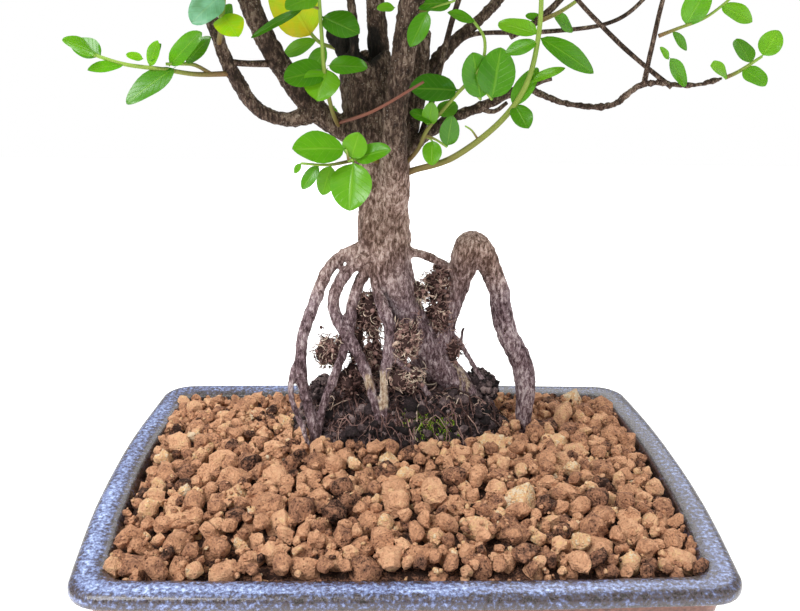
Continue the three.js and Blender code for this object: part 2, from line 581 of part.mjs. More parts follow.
// A leafy stem as one closed skin: each leaf or side shoot opens out of a single face of its stem
class LeafySkin {
  constructor(obstacles) {
    this.points = [];
    this.faces = [];
    this.obstacles = obstacles;
  }

  put(points) {
    const first = this.points.length;
    this.points.push(...points);
    return points.map((_, k) => first + k);
  }

  quad([a, b, c, d]) {
    this.faces.push(a, b, d, b, c, d);
  }

  loft(from, to) {
    from.forEach((a, k) => {
      const next = (k + 1) % from.length;
      this.quad([a, from[next], to[next], to[k]]);
    });
  }

  // A square ring round a point, square to a direction, its first corner towards a given side
  ring(centre, ahead, side, radius) {
    const across = side.clone().addScaledVector(ahead, -side.dot(ahead)).normalize();
    const other = new THREE.Vector3().crossVectors(ahead, across);
    return [[1, 0], [0, 1], [-1, 0], [0, -1]].map(([u, v]) => (
      centre.clone().addScaledVector(across, u * radius).addScaledVector(other, v * radius)));
  }

  // The blade's rows from a face of the stem: broad middle, shoulder and tip, drooping along its length
  bladeRows(foot, { axis, face, length, width, outline }) {
    const base = centreOf(foot.map((k) => this.points[k]));
    const across = new THREE.Vector3().crossVectors(face, axis).normalize();
    const upward = new THREE.Vector3().crossVectors(axis, across).normalize();
    const half = LEAF.thickness / 2;
    const at = (along, side, level) => base.clone()
      .addScaledVector(axis, along * length)
      .addScaledVector(across, side * width)
      .addScaledVector(upward, level - LEAF.droop * length * along * along);
    const rows = outline.map(([along, wide]) => (
      [at(along, -wide, half), at(along, -wide, -half), at(along, wide, -half), at(along, wide, half)]));
    const { turned, openness } = bestTurn(foot.map((k) => this.points[k]), rows[0]);
    const tips = [at(1, 0, half), at(1, 0, -half)];
    return { rows: rows.map((row) => turn(row, turned)), tips, turned, openness };
  }

  // Adds a leaf on a foot of four points, unless it crosses something; says whether it did
  leaf(foot, spec) {
    const { rows, tips, turned, openness } = this.bladeRows(foot, spec);
    if (openness < LEAF.leastOpen) return false;
    const build = (skinOf, start) => {
      const rings = [start, ...rows.map((row) => skinOf.put(row))];
      rings.slice(1).forEach((ring, k) => skinOf.loft(rings[k], ring));
      const [top, under] = skinOf.put(tips);
      const [p0, p1, p2, p3] = turn(rings[rings.length - 1], -turned);
      skinOf.faces.push(p0, p1, under, p0, under, top, p1, p2, under);
      skinOf.faces.push(p2, p3, top, p2, top, under, p3, p0, top);
    };
    const alone = new LeafySkin([]);
    const start = alone.put(foot.map((k) => this.points[k]));
    alone.quad([...start].reverse());
    build(alone, start);
    const blade = alone.solid();
    return isClear(blade, this.obstacles) && this.attempt(() => build(this, foot));
  }

  // Adds what a builder adds, or nothing where its faces would cut through others; says which
  attempt(build) {
    const known = { points: this.points.length, faces: this.faces.length };
    build();
    if (!this.isCrossed(known.faces)) return true;
    this.points.length = known.points;
    this.faces.length = known.faces;
    return false;
  }

  // True where the faces listed from an index on cut through any face of the skin
  isCrossed(from) {
    for (let own = from; own < this.faces.length; own += 3) {
      for (let other = 0; other < this.faces.length; other += 3) {
        if (this.cutsThrough(own, other) || this.cutsThrough(other, own)) return true;
      }
    }
    return false;
  }

  // True where an edge of one face passes through another face that it shares no point with
  cutsThrough(one, two) {
    const corners = this.faces.slice(two, two + 3);
    const [a, b, c] = corners.map((k) => this.points[k]);
    return [0, 1, 2].some((k) => {
      const ends = [this.faces[one + k], this.faces[one + ((k + 1) % 3)]];
      if (ends.some((end) => corners.includes(end))) return false;
      const [start, end] = ends.map((n) => this.points[n]);
      const way = end.clone().sub(start);
      const line = new THREE.Ray(start, way.clone().normalize());
      const spot = line.intersectTriangle(a, b, c, false, new THREE.Vector3());
      return spot !== null && spot.distanceTo(start) < way.length();
    });
  }

  // Grows a stem from a foot ring along a route, with a short station for each growth, then the
  // growths from the stations' faces. Each growth is { t, toward, grow(foot) }. Returns the end ring.
  stem(foot, route, growths) {
    const length = route.curve.getLength();
    const half = LEAF.nodeLength / 2 / length;
    const bends = route.points.slice(1, -1).map((_, k) => (k + 1) / (route.points.length - 1));
    let ring = foot;
    let reached = 0;
    let centre = centreOf(foot.map((k) => this.points[k]));
    const advance = (t, middle = route.at(t), ahead = route.curve.getTangent(t).normalize()) => {
      const start = ring.map((k) => this.points[k]);
      const corners = this.ring(middle, ahead, start[0].clone().sub(centre), route.radiusAt(t));
      centre = middle;
      reached = t;
      return this.put(turn(corners, bestTurn(start, corners).turned));
    };
    const climb = (...place) => {
      const next = advance(...place);
      this.loft(ring, next);
      ring = next;
    };
    const square = normalOf(foot.slice(0, 3).map((k) => this.points[k]));
    const slant = square.clone().add(route.at(LEAF.collar / length * 2).sub(centre).normalize());
    if (slant.normalize().dot(square) < LEAF.mostBent) {
      climb(LEAF.collar / length, centre.clone().addScaledVector(square, LEAF.collar), slant);
    }
    const free = [];
    for (const wanted of growths.map(({ t }) => t).sort((one, two) => one - two)) {
      const middle = Math.max(wanted, reached + 2 * half);
      if (middle - reached > LEAF.merge * half && middle < 1 - 2 * half) {
        const passed = bends.filter((place) => place > reached + 2 * half && place < middle - 3 * half);
        [...passed, middle - half].forEach((t) => climb(t));
        const from = ring;
        ring = advance(middle + half);
        for (const k of [0, 1, 2, 3]) {
          const face = [from[k], from[(k + 1) % 4], ring[(k + 1) % 4], ring[k]];
          const outward = centreOf(face.map((n) => this.points[n])).sub(route.at(middle)).normalize();
          free.push({ face, t: middle, outward });
        }
      }
    }
    bends.filter((place) => place > reached + 2 * half && place < 1 - 2 * half).forEach((t) => climb(t));
    climb(1);
    for (const { t, toward, grow } of growths) {
      const cost = (place) => Math.abs(place.t - t) * length * LEAF.strayCost - place.outward.dot(toward);
      const tries = free.filter(({ outward }) => outward.dot(toward) > LEAF.leastFacing);
      tries.sort((one, two) => cost(one) - cost(two));
      const grown = tries.slice(0, LEAF.mostTries).find(({ face }) => grow(face));
      if (grown) free.splice(free.indexOf(grown), 1);
    }
    free.forEach(({ face }) => this.quad(face));
    return ring;
  }

  solid() {
    return toSolid(bodyFrom(this.points, this.faces));
  }
}

function normalOf([a, b, c]) {
  return new THREE.Vector3().crossVectors(b.clone().sub(a), c.clone().sub(a)).normalize();
}

function centreOf(points) {
  return points.reduce((sum, p) => sum.add(p), new THREE.Vector3()).divideScalar(points.length);
}

function turn(list, steps) {
  const shift = ((steps % list.length) + list.length) % list.length;
  return [...list.slice(shift), ...list.slice(0, shift)];
}

// How far round a row is best turned to follow a foot, and how openly its faces then look outwards
function bestTurn(foot, row) {
  const base = centreOf(foot);
  const along = centreOf(row).sub(base);
  const facing = (a, b, c) => {
    const middle = centreOf([a, b, c]);
    const level = middle.clone().sub(base).dot(along) / along.lengthSq();
    const outward = middle.sub(base.clone().addScaledVector(along, level)).normalize();
    return normalOf([a, b, c]).dot(outward);
  };
  const openness = (steps) => {
    const to = turn(row, steps);
    return Math.min(...foot.map((from, k) => {
      const next = (k + 1) % 4;
      return Math.min(facing(from, foot[next], to[k]), facing(foot[next], to[next], to[k]));
    }));
  };
  const [turned] = [0, 1, 2, 3].sort((a, b) => openness(b) - openness(a));
  return { turned, openness: openness(turned) };
}

// The side shoots of a spray's stem, one to each side
function sideShoots(stem, outward, draw) {
  const reach = stem.at(1).distanceTo(stem.at(0)) * CROWN.shootReach;
  return CROWN.shootAt.map((t, index) => {
    const from = stem.at(t);
    const ahead = stem.curve.getTangent(t).normalize();
    const reference = Math.abs(ahead.z) > 0.9 ? VIEWER_SIDE : UP;
    const side = new THREE.Vector3().crossVectors(ahead, reference).normalize();
    const swing = (index === 0 ? 1 : -1) * (0.75 + 0.25 * draw());
    const direction = ahead.multiplyScalar(Math.cos(swing)).addScaledVector(side, Math.sin(swing));
    direction.addScaledVector(UP, 0.25 * (draw() - 0.4)).normalize();
    const middle = from.clone().addScaledVector(direction, reach * 0.55).addScaledVector(outward, 1.5);
    const tip = from.clone().addScaledVector(direction, reach);
    const route = new Route([
      [...from.toArray(), CROWN.stemRadius * 0.8],
      [...middle.toArray(), CROWN.tipRadius],
      [...tip.toArray(), CROWN.tipRadius * 0.8],
    ]);
    return { t, direction, route };
  });
}

// The solids hold every second pair of leaves, and the leaf at each tip
function keepsLeaf({ pair, isTip }) {
  return isTip || pair % 2 === 1;
}

// One leaf's place and pose on a stem, turned about it by roll and leaning away by lean
function poseLeaf(route, t, roll, lean, outward, draw) {
  const ahead = route.curve.getTangent(t).normalize();
  const side = new THREE.Vector3().crossVectors(ahead, UP);
  if (side.length() < 0.2) side.set(1, 0, 0);
  side.normalize();
  const other = new THREE.Vector3().crossVectors(side, ahead);
  const angle = roll + 0.9 * (draw() - 0.5);
  const away = lean + 0.4 * (draw() - 0.5);
  const axis = ahead.clone().multiplyScalar(Math.cos(away));
  axis.addScaledVector(side, Math.cos(angle) * Math.sin(away));
  axis.addScaledVector(other, Math.sin(angle) * Math.sin(away) * 0.75).normalize();
  const face = outward.clone().multiplyScalar(0.55).addScaledVector(UP, 0.75);
  face.addScaledVector(side, 0.8 * (draw() - 0.5));
  face.addScaledVector(axis, -face.dot(axis)).normalize();
  const length = LEAF.shortest + (LEAF.longest - LEAF.shortest) * draw();
  const width = length * (LEAF.slender + (LEAF.round - LEAF.slender) * draw());
  return { t, axis, face, length, width, outline: LEAF.crownRows };
}

// Leaves along a stem: nearly opposite pairs, each pair turned from the last, and one at the tip
function leavesAlong(route, pairs, outward, draw) {
  const leaves = [];
  for (let pair = 0; pair < pairs; pair += 1) {
    const t = 0.2 + 0.7 * (pair + 0.3 * draw()) / pairs;
    for (const turned of [0, Math.PI]) {
      const leaf = poseLeaf(route, t, turned + pair * LEAF.pairTurn, 0.95, outward, draw);
      leaves.push({ ...leaf, pair });
    }
  }
  leaves.push({ ...poseLeaf(route, 0.99, 0, 0.1, outward, draw), pair: pairs, isTip: true });
  return leaves;
}

// True where a solid is clear of all the others
function isClear(solid, others) {
  const box = solid.boundingBox();
  return others.every((other) => {
    const near = other.boundingBox();
    const apart = [0, 1, 2].some((k) => box.max[k] < near.min[k] || box.min[k] > near.max[k]);
    return apart || solid.intersect(other).volume() < NO_VOLUME;
  });
}

// Grows one stem with its leaves, and closes its tip with the tip leaf or a flat face
function leafyStem(skinOf, foot, route, leaves, shoots = []) {
  const growths = shoots.map(({ t, direction, route: path, leaves: own }) => (
    { t, toward: direction, grow: (face) => skinOf.attempt(() => leafyStem(skinOf, face, path, own)) }));
  for (const leaf of leaves.filter(({ isTip }) => !isTip)) {
    growths.push({ t: leaf.t, toward: leaf.axis, grow: (face) => skinOf.leaf(face, leaf) });
  }
  const end = skinOf.stem(foot, route, growths);
  const tip = leaves.find((leaf) => leaf.isTip);
  if (!tip || !skinOf.leaf(end, tip)) skinOf.quad(end);
}

function largestPiece(solid) {
  return solid.decompose().sort((a, b) => b.volume() - a.volume())[0];
}

// A spray standing alone: its first stem starts with a flat foot, square to what carries it
function growSpray(route, leaves, shoots, obstacles, footAxis) {
  const skinOf = new LeafySkin(obstacles);
  const square = footAxis ?? route.curve.getTangent(0).normalize();
  const foot = skinOf.put(skinOf.ring(route.at(0), square, FIRST_SIDE, route.radiusAt(0)));
  skinOf.quad([...foot].reverse());
  leafyStem(skinOf, foot, route, leaves, shoots);
  return skinOf.solid();
}

// A leaf seen in the photograph, [base, tip, width], on the nearest place of its stem
function seenLeaf(route, [base, tip, width]) {
  const from = new THREE.Vector3(...base);
  const axis = new THREE.Vector3(...tip).sub(from);
  const length = axis.length();
  axis.normalize();
  const face = VIEWER_SIDE.clone().addScaledVector(axis, -VIEWER_SIDE.dot(axis)).normalize();
  return { t: nearestPlace(route, from).t, axis, face, length, width, outline: LEAF.nearRows };
}

function nearestPlace(route, point) {
  let best = { t: 0, distance: Infinity };
  for (let t = 0; t <= 1; t += 0.01) {
    const distance = route.at(t).distanceTo(point);
    if (distance < best.distance) best = { t, distance };
  }
  return best;
}

const twigs = [];
const crown = [];
for (let index = 0; index < CROWN.sprays; index += 1) {
  const plan = crownSpray(index);
  crown.push(plan);
  twigs.push(crownTwig(plan));
}

// Tree: trunk, bare roots and limbs, grown as one piece
const trunkRoute = new Route(TRUNK);
const rootRoutes = ROOTS.map((points) => new Route(points));
const limbRoutes = Object.values(LIMBS).map((points) => new Route(points));
const sidesFor = (route) => (Math.max(...route.radii) > 4.2 ? 7 : Math.max(...route.radii) > 2.1 ? 5 : 4);
const tubesOf = (routes, extra) => routes.map((route) => (
  toSolid(route.tube({ sides: sidesFor(route), steps: route.points.length - 1, extra }))));
const trunkShape = { sides: 10, steps: TRUNK.length - 1, flute: 0.05, ragged: 4 };
const trunkTube = (extra) => toSolid(trunkRoute.tube({ ...trunkShape, extra }));
const tree = join([
  trunkTube(0),
  ...tubesOf([...rootRoutes, ...limbRoutes], 0),
  ...twigs.map((route) => toSolid(route.tube({ sides: 3, steps: 1 }))),
  ...ROOT_KNOTS.map(makeKnot),
]).simplify(WOOD_DETAIL);

// The same trunk and roots, larger by the clearance, cut their own holes in the grit and the root ball
const rootHoles = join([
  trunkTube(CLEARANCE),
  ...tubesOf(rootRoutes, CLEARANCE),
  ...ROOT_KNOTS.map(([x, y, z, radius], index) => makeKnot([x, y, z, radius + 2 * CLEARANCE], index)),
]);

// The limbs, larger by the clearance, cut the feet of the stems that grow from them
const limbReach = join([trunkTube(CLEARANCE), ...tubesOf([...rootRoutes, ...limbRoutes], CLEARANCE)]);

const solids = new Map([
  ['pot', makePot()],
  ['drain_mesh_left', makeDrainMesh(-POT.drainX)],
  ['drain_mesh_right', makeDrainMesh(POT.drainX)],
  ['grit', makeGrit().subtract(makePocket()).subtract(rootHoles).simplify(FINE_DETAIL)],
  ['root_ball', makeRootBall().subtract(rootHoles).simplify(FINE_DETAIL)],
  ['tree', tree],
]);

for (const [name, { stems, leaves }] of Object.entries(SEEN_SPRAYS)) {
  const [main, ...rest] = stems.map((points) => new Route(points));
  const routes = [main, ...rest];
  const sorted = routes.map(() => []);
  for (const leaf of leaves) {
    const from = new THREE.Vector3(...leaf[0]);
    const misses = routes.map((route) => nearestPlace(route, from).distance);
    const owner = misses.indexOf(Math.min(...misses));
    sorted[owner].push(seenLeaf(routes[owner], leaf));
  }
  const shoots = rest.map((route, k) => ({
    t: nearestPlace(main, route.at(0)).t,
    direction: route.curve.getTangent(0).normalize(),
    route,
    leaves: sorted[k + 1],
  }));
  const spray = growSpray(main, sorted[0], shoots, [...solids.values()]);
  solids.set(name, largestPiece(spray.subtract(limbReach)).simplify(FINE_DETAIL));
}

crown.forEach(({ outward, start, end }, index) => {
  const draw = makeDraw(SEED + 37 * index);
  const reach = end.clone().sub(start);
  const along = twigs[index].curve.getTangent(1).normalize();
  const foot = start.clone().addScaledVector(along, CLEARANCE);
  const sway = new THREE.Vector3(draw() - 0.5, draw() - 0.5, draw() * 0.6).multiplyScalar(9);
  const near = foot.clone().addScaledVector(reach, CROWN.bendAt[0]).add(sway);
  const far = foot.clone().addScaledVector(reach, CROWN.bendAt[1]).addScaledVector(sway, 0.8);
  const stem = new Route([
    [...foot.toArray(), CROWN.stemRadius],
    [...near.toArray(), CROWN.stemRadius * 0.9],
    [...far.toArray(), CROWN.tipRadius],
    [...end.toArray(), CROWN.tipRadius * 0.8],
  ]);
  const shoots = sideShoots(stem, outward, draw);
  const leaves = leavesAlong(stem, CROWN.stemPairs, outward, draw).filter(keepsLeaf);
  const leafyShoots = shoots.map((shoot) => (
    { ...shoot, leaves: leavesAlong(shoot.route, CROWN.shootPairs, outward, draw).filter(keepsLeaf) }));
  const name = `spray_${String(index + 1).padStart(2, '0')}`;
  solids.set(name, growSpray(stem, leaves, leafyShoots, [...solids.values()], along));
});

const FINISHES = {
  pot: { color: 0x55698c, roughness: 0.28, metalness: 0 },
  drain_mesh: { color: 0x20211f, roughness: 0.6, metalness: 0 },
  grit: { color: 0xb07448, roughness: 0.95, metalness: 0 },
  root_ball: { color: 0x2b211d, roughness: 1, metalness: 0 },
  tree: { color: 0x7a655c, roughness: 0.85, metalness: 0 },
  spray: { color: 0x4f9a34, roughness: 0.45, metalness: 0 },
};

const group = new THREE.Group();
for (const [name, solid] of solids) {
  const finish = Object.keys(FINISHES).find((key) => name.startsWith(key));
  const mesh = new THREE.Mesh(toGeometry(solid), new THREE.MeshStandardMaterial(FINISHES[finish]));
  mesh.name = name;
  group.add(mesh);
}

export default group;
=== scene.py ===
"""Sweet plum bonsai standing on its bare roots in a glazed pot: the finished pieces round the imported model.

Lengths are millimetres until a mesh is made, which turns them to metres. +Z is up, +X is to the right and
+Y is away from the viewer, with the origin on the table under the pot's middle.
"""

import logging
import math
from collections.abc import Callable, Iterable, Sequence
from dataclasses import dataclass, field
from enum import Enum
from functools import partial

import bmesh
import bpy
import numpy as np
from mathutils import Matrix

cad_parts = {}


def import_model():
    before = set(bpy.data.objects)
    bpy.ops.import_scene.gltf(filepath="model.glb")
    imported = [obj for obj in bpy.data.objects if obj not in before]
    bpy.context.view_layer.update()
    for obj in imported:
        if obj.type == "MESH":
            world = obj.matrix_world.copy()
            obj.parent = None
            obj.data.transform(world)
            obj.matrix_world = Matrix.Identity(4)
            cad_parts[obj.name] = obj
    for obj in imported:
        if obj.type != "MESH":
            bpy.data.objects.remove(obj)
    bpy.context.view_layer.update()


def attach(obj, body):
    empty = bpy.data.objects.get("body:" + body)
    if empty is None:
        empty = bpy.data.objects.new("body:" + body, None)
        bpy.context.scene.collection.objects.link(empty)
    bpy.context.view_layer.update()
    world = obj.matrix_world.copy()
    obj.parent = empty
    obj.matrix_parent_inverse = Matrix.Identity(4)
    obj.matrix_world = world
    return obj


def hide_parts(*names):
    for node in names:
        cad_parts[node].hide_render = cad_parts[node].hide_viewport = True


LOG = logging.getLogger("bonsai")
MM = 0.001
SEED = 4183
GOLDEN_ANGLE = math.pi * (3 - math.sqrt(5))
UP = np.array([0.0, 0.0, 1.0])
VIEWER_SIDE = np.array([0.0, -0.76, 0.65])
FIRST_SIDE = np.array([0.3, 1.0, 0.2])

# Each route is its points, (x, y, z, radius), from where it leaves what carries it. Each clod of BALL_LUMPS
# is (x, y, z, radius). Each of SEEN_SPRAYS is its stems' routes, then its leaves: base, tip and width.
TRUNK = (
    (40, 38, 58, 5.6), (37, 37, 76, 6.4), (31, 36, 88, 7.2), (23, 35, 98, 8.2), (15, 34, 107, 8.8),
    (10, 33, 117, 8), (4, 32, 127, 7.8), (0, 31, 137, 7.8), (-4, 31, 147, 8.8), (-8, 32, 158, 11),
    (-9, 32, 170, 11.6), (-9, 32, 184, 11), (-9, 32, 196, 11.2), (-11, 32, 207, 11.8),
    (-14, 33, 222, 12.4), (-18, 34, 246, 11.2),
)
ROOTS = (
    ((-12, 30, 166, 3.6), (-20, 28, 163, 3.2), (-27, 27, 160, 3), (-33, 25, 155, 2.9),
     (-37, 24, 147, 2.8), (-41, 22, 136, 2.8), (-45, 20, 125, 2.8), (-46, 18, 113, 2.7),
     (-45, 15, 100, 2.6), (-41, 13, 84, 2.4), (-39, 12, 64, 2)),
    ((-46, 18, 116, 1.9), (-50, 15, 107, 1.5), (-50, 12, 96, 1.4), (-45, 9, 83, 1.3), (-41, 8, 66, 1.1)),
    ((-7, 28, 164, 3.2), (-14, 25, 161, 3), (-20, 24, 158, 2.9), (-26, 23, 153, 2.8),
     (-30, 22, 146, 2.7), (-31, 21, 137, 2.7), (-28, 19, 129, 2.7), (-22, 17, 121, 2.7),
     (-17, 15, 110, 2.6), (-14, 14, 99, 2.3), (-11, 13, 87, 1.8), (-9, 13, 68, 1.4)),
    ((-9, 28, 159, 3.2), (-16, 26, 154, 3), (-20, 24, 148, 2.8), (-23, 22, 138, 2.7),
     (-24, 21, 127, 2.6), (-27, 19, 117, 2.2), (-31, 17, 105, 2), (-36, 16, 92, 1.9),
     (-38, 15, 79, 1.7), (-38, 15, 64, 1.4)),
    ((-8, 27, 159, 2.6), (-12, 24, 153, 2.4), (-12, 22, 146, 2.4), (-8, 20, 135, 3), (-5, 19, 126, 3.1),
     (-6, 18, 117, 3), (-8, 16, 107, 2.3), (-8, 15, 96, 2.1), (-7, 13, 82, 2), (-5, 13, 65, 1.8)),
    ((-6, 18, 118, 2.4), (-1, 18, 112, 1.8), (6, 19, 104, 1.6), (12, 20, 96, 1.5), (17, 22, 84, 1.4),
     (19, 23, 72, 1.2)),
    ((-2, 33, 161, 2.6), (6, 33, 160, 2.2), (14, 34, 157, 2.1), (21, 36, 152, 2.2), (27, 36, 147, 2)),
    ((13, 35, 105, 5.2), (18, 35, 114, 5.8), (20.8, 36, 125, 5.2), (23.6, 36, 134, 4.9),
     (26.2, 36, 142, 4.9), (27.7, 36, 149, 5.5), (28.7, 36, 156, 6.4), (31.2, 36, 162.4, 7.4),
     (36.4, 36, 160.3, 6.1), (41.6, 36, 150.5, 5), (45.5, 36, 142, 4.8), (47.5, 35, 131, 4.8),
     (51, 35, 119, 4.9), (58, 35, 106, 5.1), (61, 34, 93, 5.1), (61, 34, 79, 4), (62, 34, 60, 3)),
    ((24, 35, 119, 2), (30, 36, 112, 1.4), (37, 37, 100, 1.3), (43, 38, 89, 1.3), (47, 38, 78, 1.2),
     (49, 38, 66, 1.1)),
    ((22, 36, 107, 1.1), (28, 37.5, 111, 0.9), (30, 38.5, 122, 0.8)),
)
BALL_LUMPS = ((39, 42, 88, 10.5), (-36, 34, 90, 8.5))
LIMBS = {
    "leader": ((-7, 30, 176, 6.5), (-5, 26, 189, 7.6), (-5, 21, 200, 6.8), (-5, 18, 212, 5.2),
        (-5, 16, 228, 4.8), (-3, 16, 242, 4.9), (0, 15, 262, 5.3), (2, 13, 280, 4.8), (5, 6, 308, 3.5),
        (4, 0, 336, 2.4), (-2, -4, 362, 1.4)),
    "left": ((-12, 32, 203, 7), (-20, 30, 212, 5.4), (-29, 29, 217, 5), (-43, 27, 229, 4.7),
        (-55, 26, 246, 4.5), (-65, 24, 268, 4.2), (-72, 20, 288, 3.5), (-80, 8, 318, 2.3),
        (-80, 0, 342, 1.3)),
    "leftOuter": ((-38, 27, 224, 4.4), (-45, 25, 221, 3.5), (-55, 24, 221, 3.1), (-65, 23, 227, 3),
        (-74, 21, 243, 2.9), (-78, 20, 256, 2.8), (-84, 18, 274, 2.6), (-95, 12, 290, 2.1),
        (-110, 4, 304, 1.3)),
    "leftLink": ((-76, 21, 244, 1.5), (-66, 22, 243, 1.3), (-55, 26, 243, 1.6)),
    "pale": ((-21, 28, 226, 2.8), (-22, 26, 240, 2.1), (-23, 26, 264, 2), (-28, 32, 290, 1.6),
        (-36, 48, 314, 1.1)),
    "dark": ((-12, 34, 224, 5.6), (-11, 36, 238, 4.9), (-13, 36, 262, 4.1), (-17, 40, 290, 3.2),
        (-24, 46, 330, 1.9), (-24, 44, 354, 1.2)),
    "snag": ((1, 33, 210, 3.8), (4.2, 33, 228, 4), (6.1, 33, 247, 3.9), (8, 34, 257, 2.2)),
    "right": ((3, 35, 220, 3.6), (8, 37, 236, 3.2), (18, 40, 250, 2.9), (34, 43, 264, 2.4),
        (54, 48, 287, 1.8), (68, 52, 306, 1.2)),
    "rightThin": ((22, 40, 253, 1.4), (32, 41, 256, 1.1), (60, 44, 257, 1), (88, 45, 261, 0.9),
        (103, 47, 271, 0.9), (114, 50, 288, 0.8)),
    "rightLow": ((-8, 31, 199, 4), (0, 29, 206, 2.8), (15, 27, 219, 2.5), (32, 24, 227, 2.3),
        (49, 22, 235, 1.8), (55, 21, 233, 1.5), (68, 18, 229, 1.4), (85, 16, 229, 1.4),
        (97, 14, 238, 1.4), (116, 11, 238, 1.1), (128, 10, 241, 1)),
    "rightRiser": ((97, 14, 237, 1.2), (98, 12, 252, 1), (101, 10, 276, 0.9), (108, 5, 296, 0.8)),
    "rightCross": ((108, 12, 237, 1.1), (93, 15, 248, 1), (80, 18, 259, 1), (64, 20, 275, 0.9),
        (56, 18, 292, 0.8)),
    "rightHook": ((31, 25, 226, 1.3), (37, 23, 225, 1), (42, 21, 229, 0.8)),
    "rightStub": ((50, 22, 235, 1.4), (56, 20, 238, 1), (60, 20, 239, 0.8)),
    "greenRear": ((-3, 28, 200, 2), (4, 31, 208, 1.4), (10, 33, 223, 1.3), (15, 33, 245, 1.3),
        (20, 35, 265, 1.2), (28, 38, 286, 1), (38, 40, 304, 0.8)),
    "oliveRiser": ((45, 43, 255, 1.7), (54, 40, 260, 1.6), (67, 42, 272, 1.4), (78, 44, 290, 1)),
    "front": ((3, 12, 284, 3), (2, -2, 293, 2.5), (-2, -26, 303, 1.9), (-8, -62, 314, 1.1)),
    "frontRight": ((4, 8, 302, 2.6), (20, -8, 313, 2), (38, -28, 321, 1.5), (54, -48, 328, 1)),
    "frontLeft": ((-69, 22, 280, 2.6), (-66, 4, 290, 2), (-62, -20, 299, 1.5), (-58, -46, 308, 1)),
    "back": ((-15, 38, 280, 2.8), (-12, 58, 294, 2.1), (-8, 80, 306, 1.2)),
    "backLeft": ((-27, 31, 286, 1.7), (-46, 50, 300, 1.5), (-68, 66, 310, 1)),
    "backRight": ((52, 47, 284, 1.8), (50, 64, 298, 1.5), (48, 80, 308, 1)),
    "inner": ((4, 8, 298, 2.8), (26, 9, 312, 2.2), (54, 6, 323, 1.7), (84, 2, 332, 1)),
}
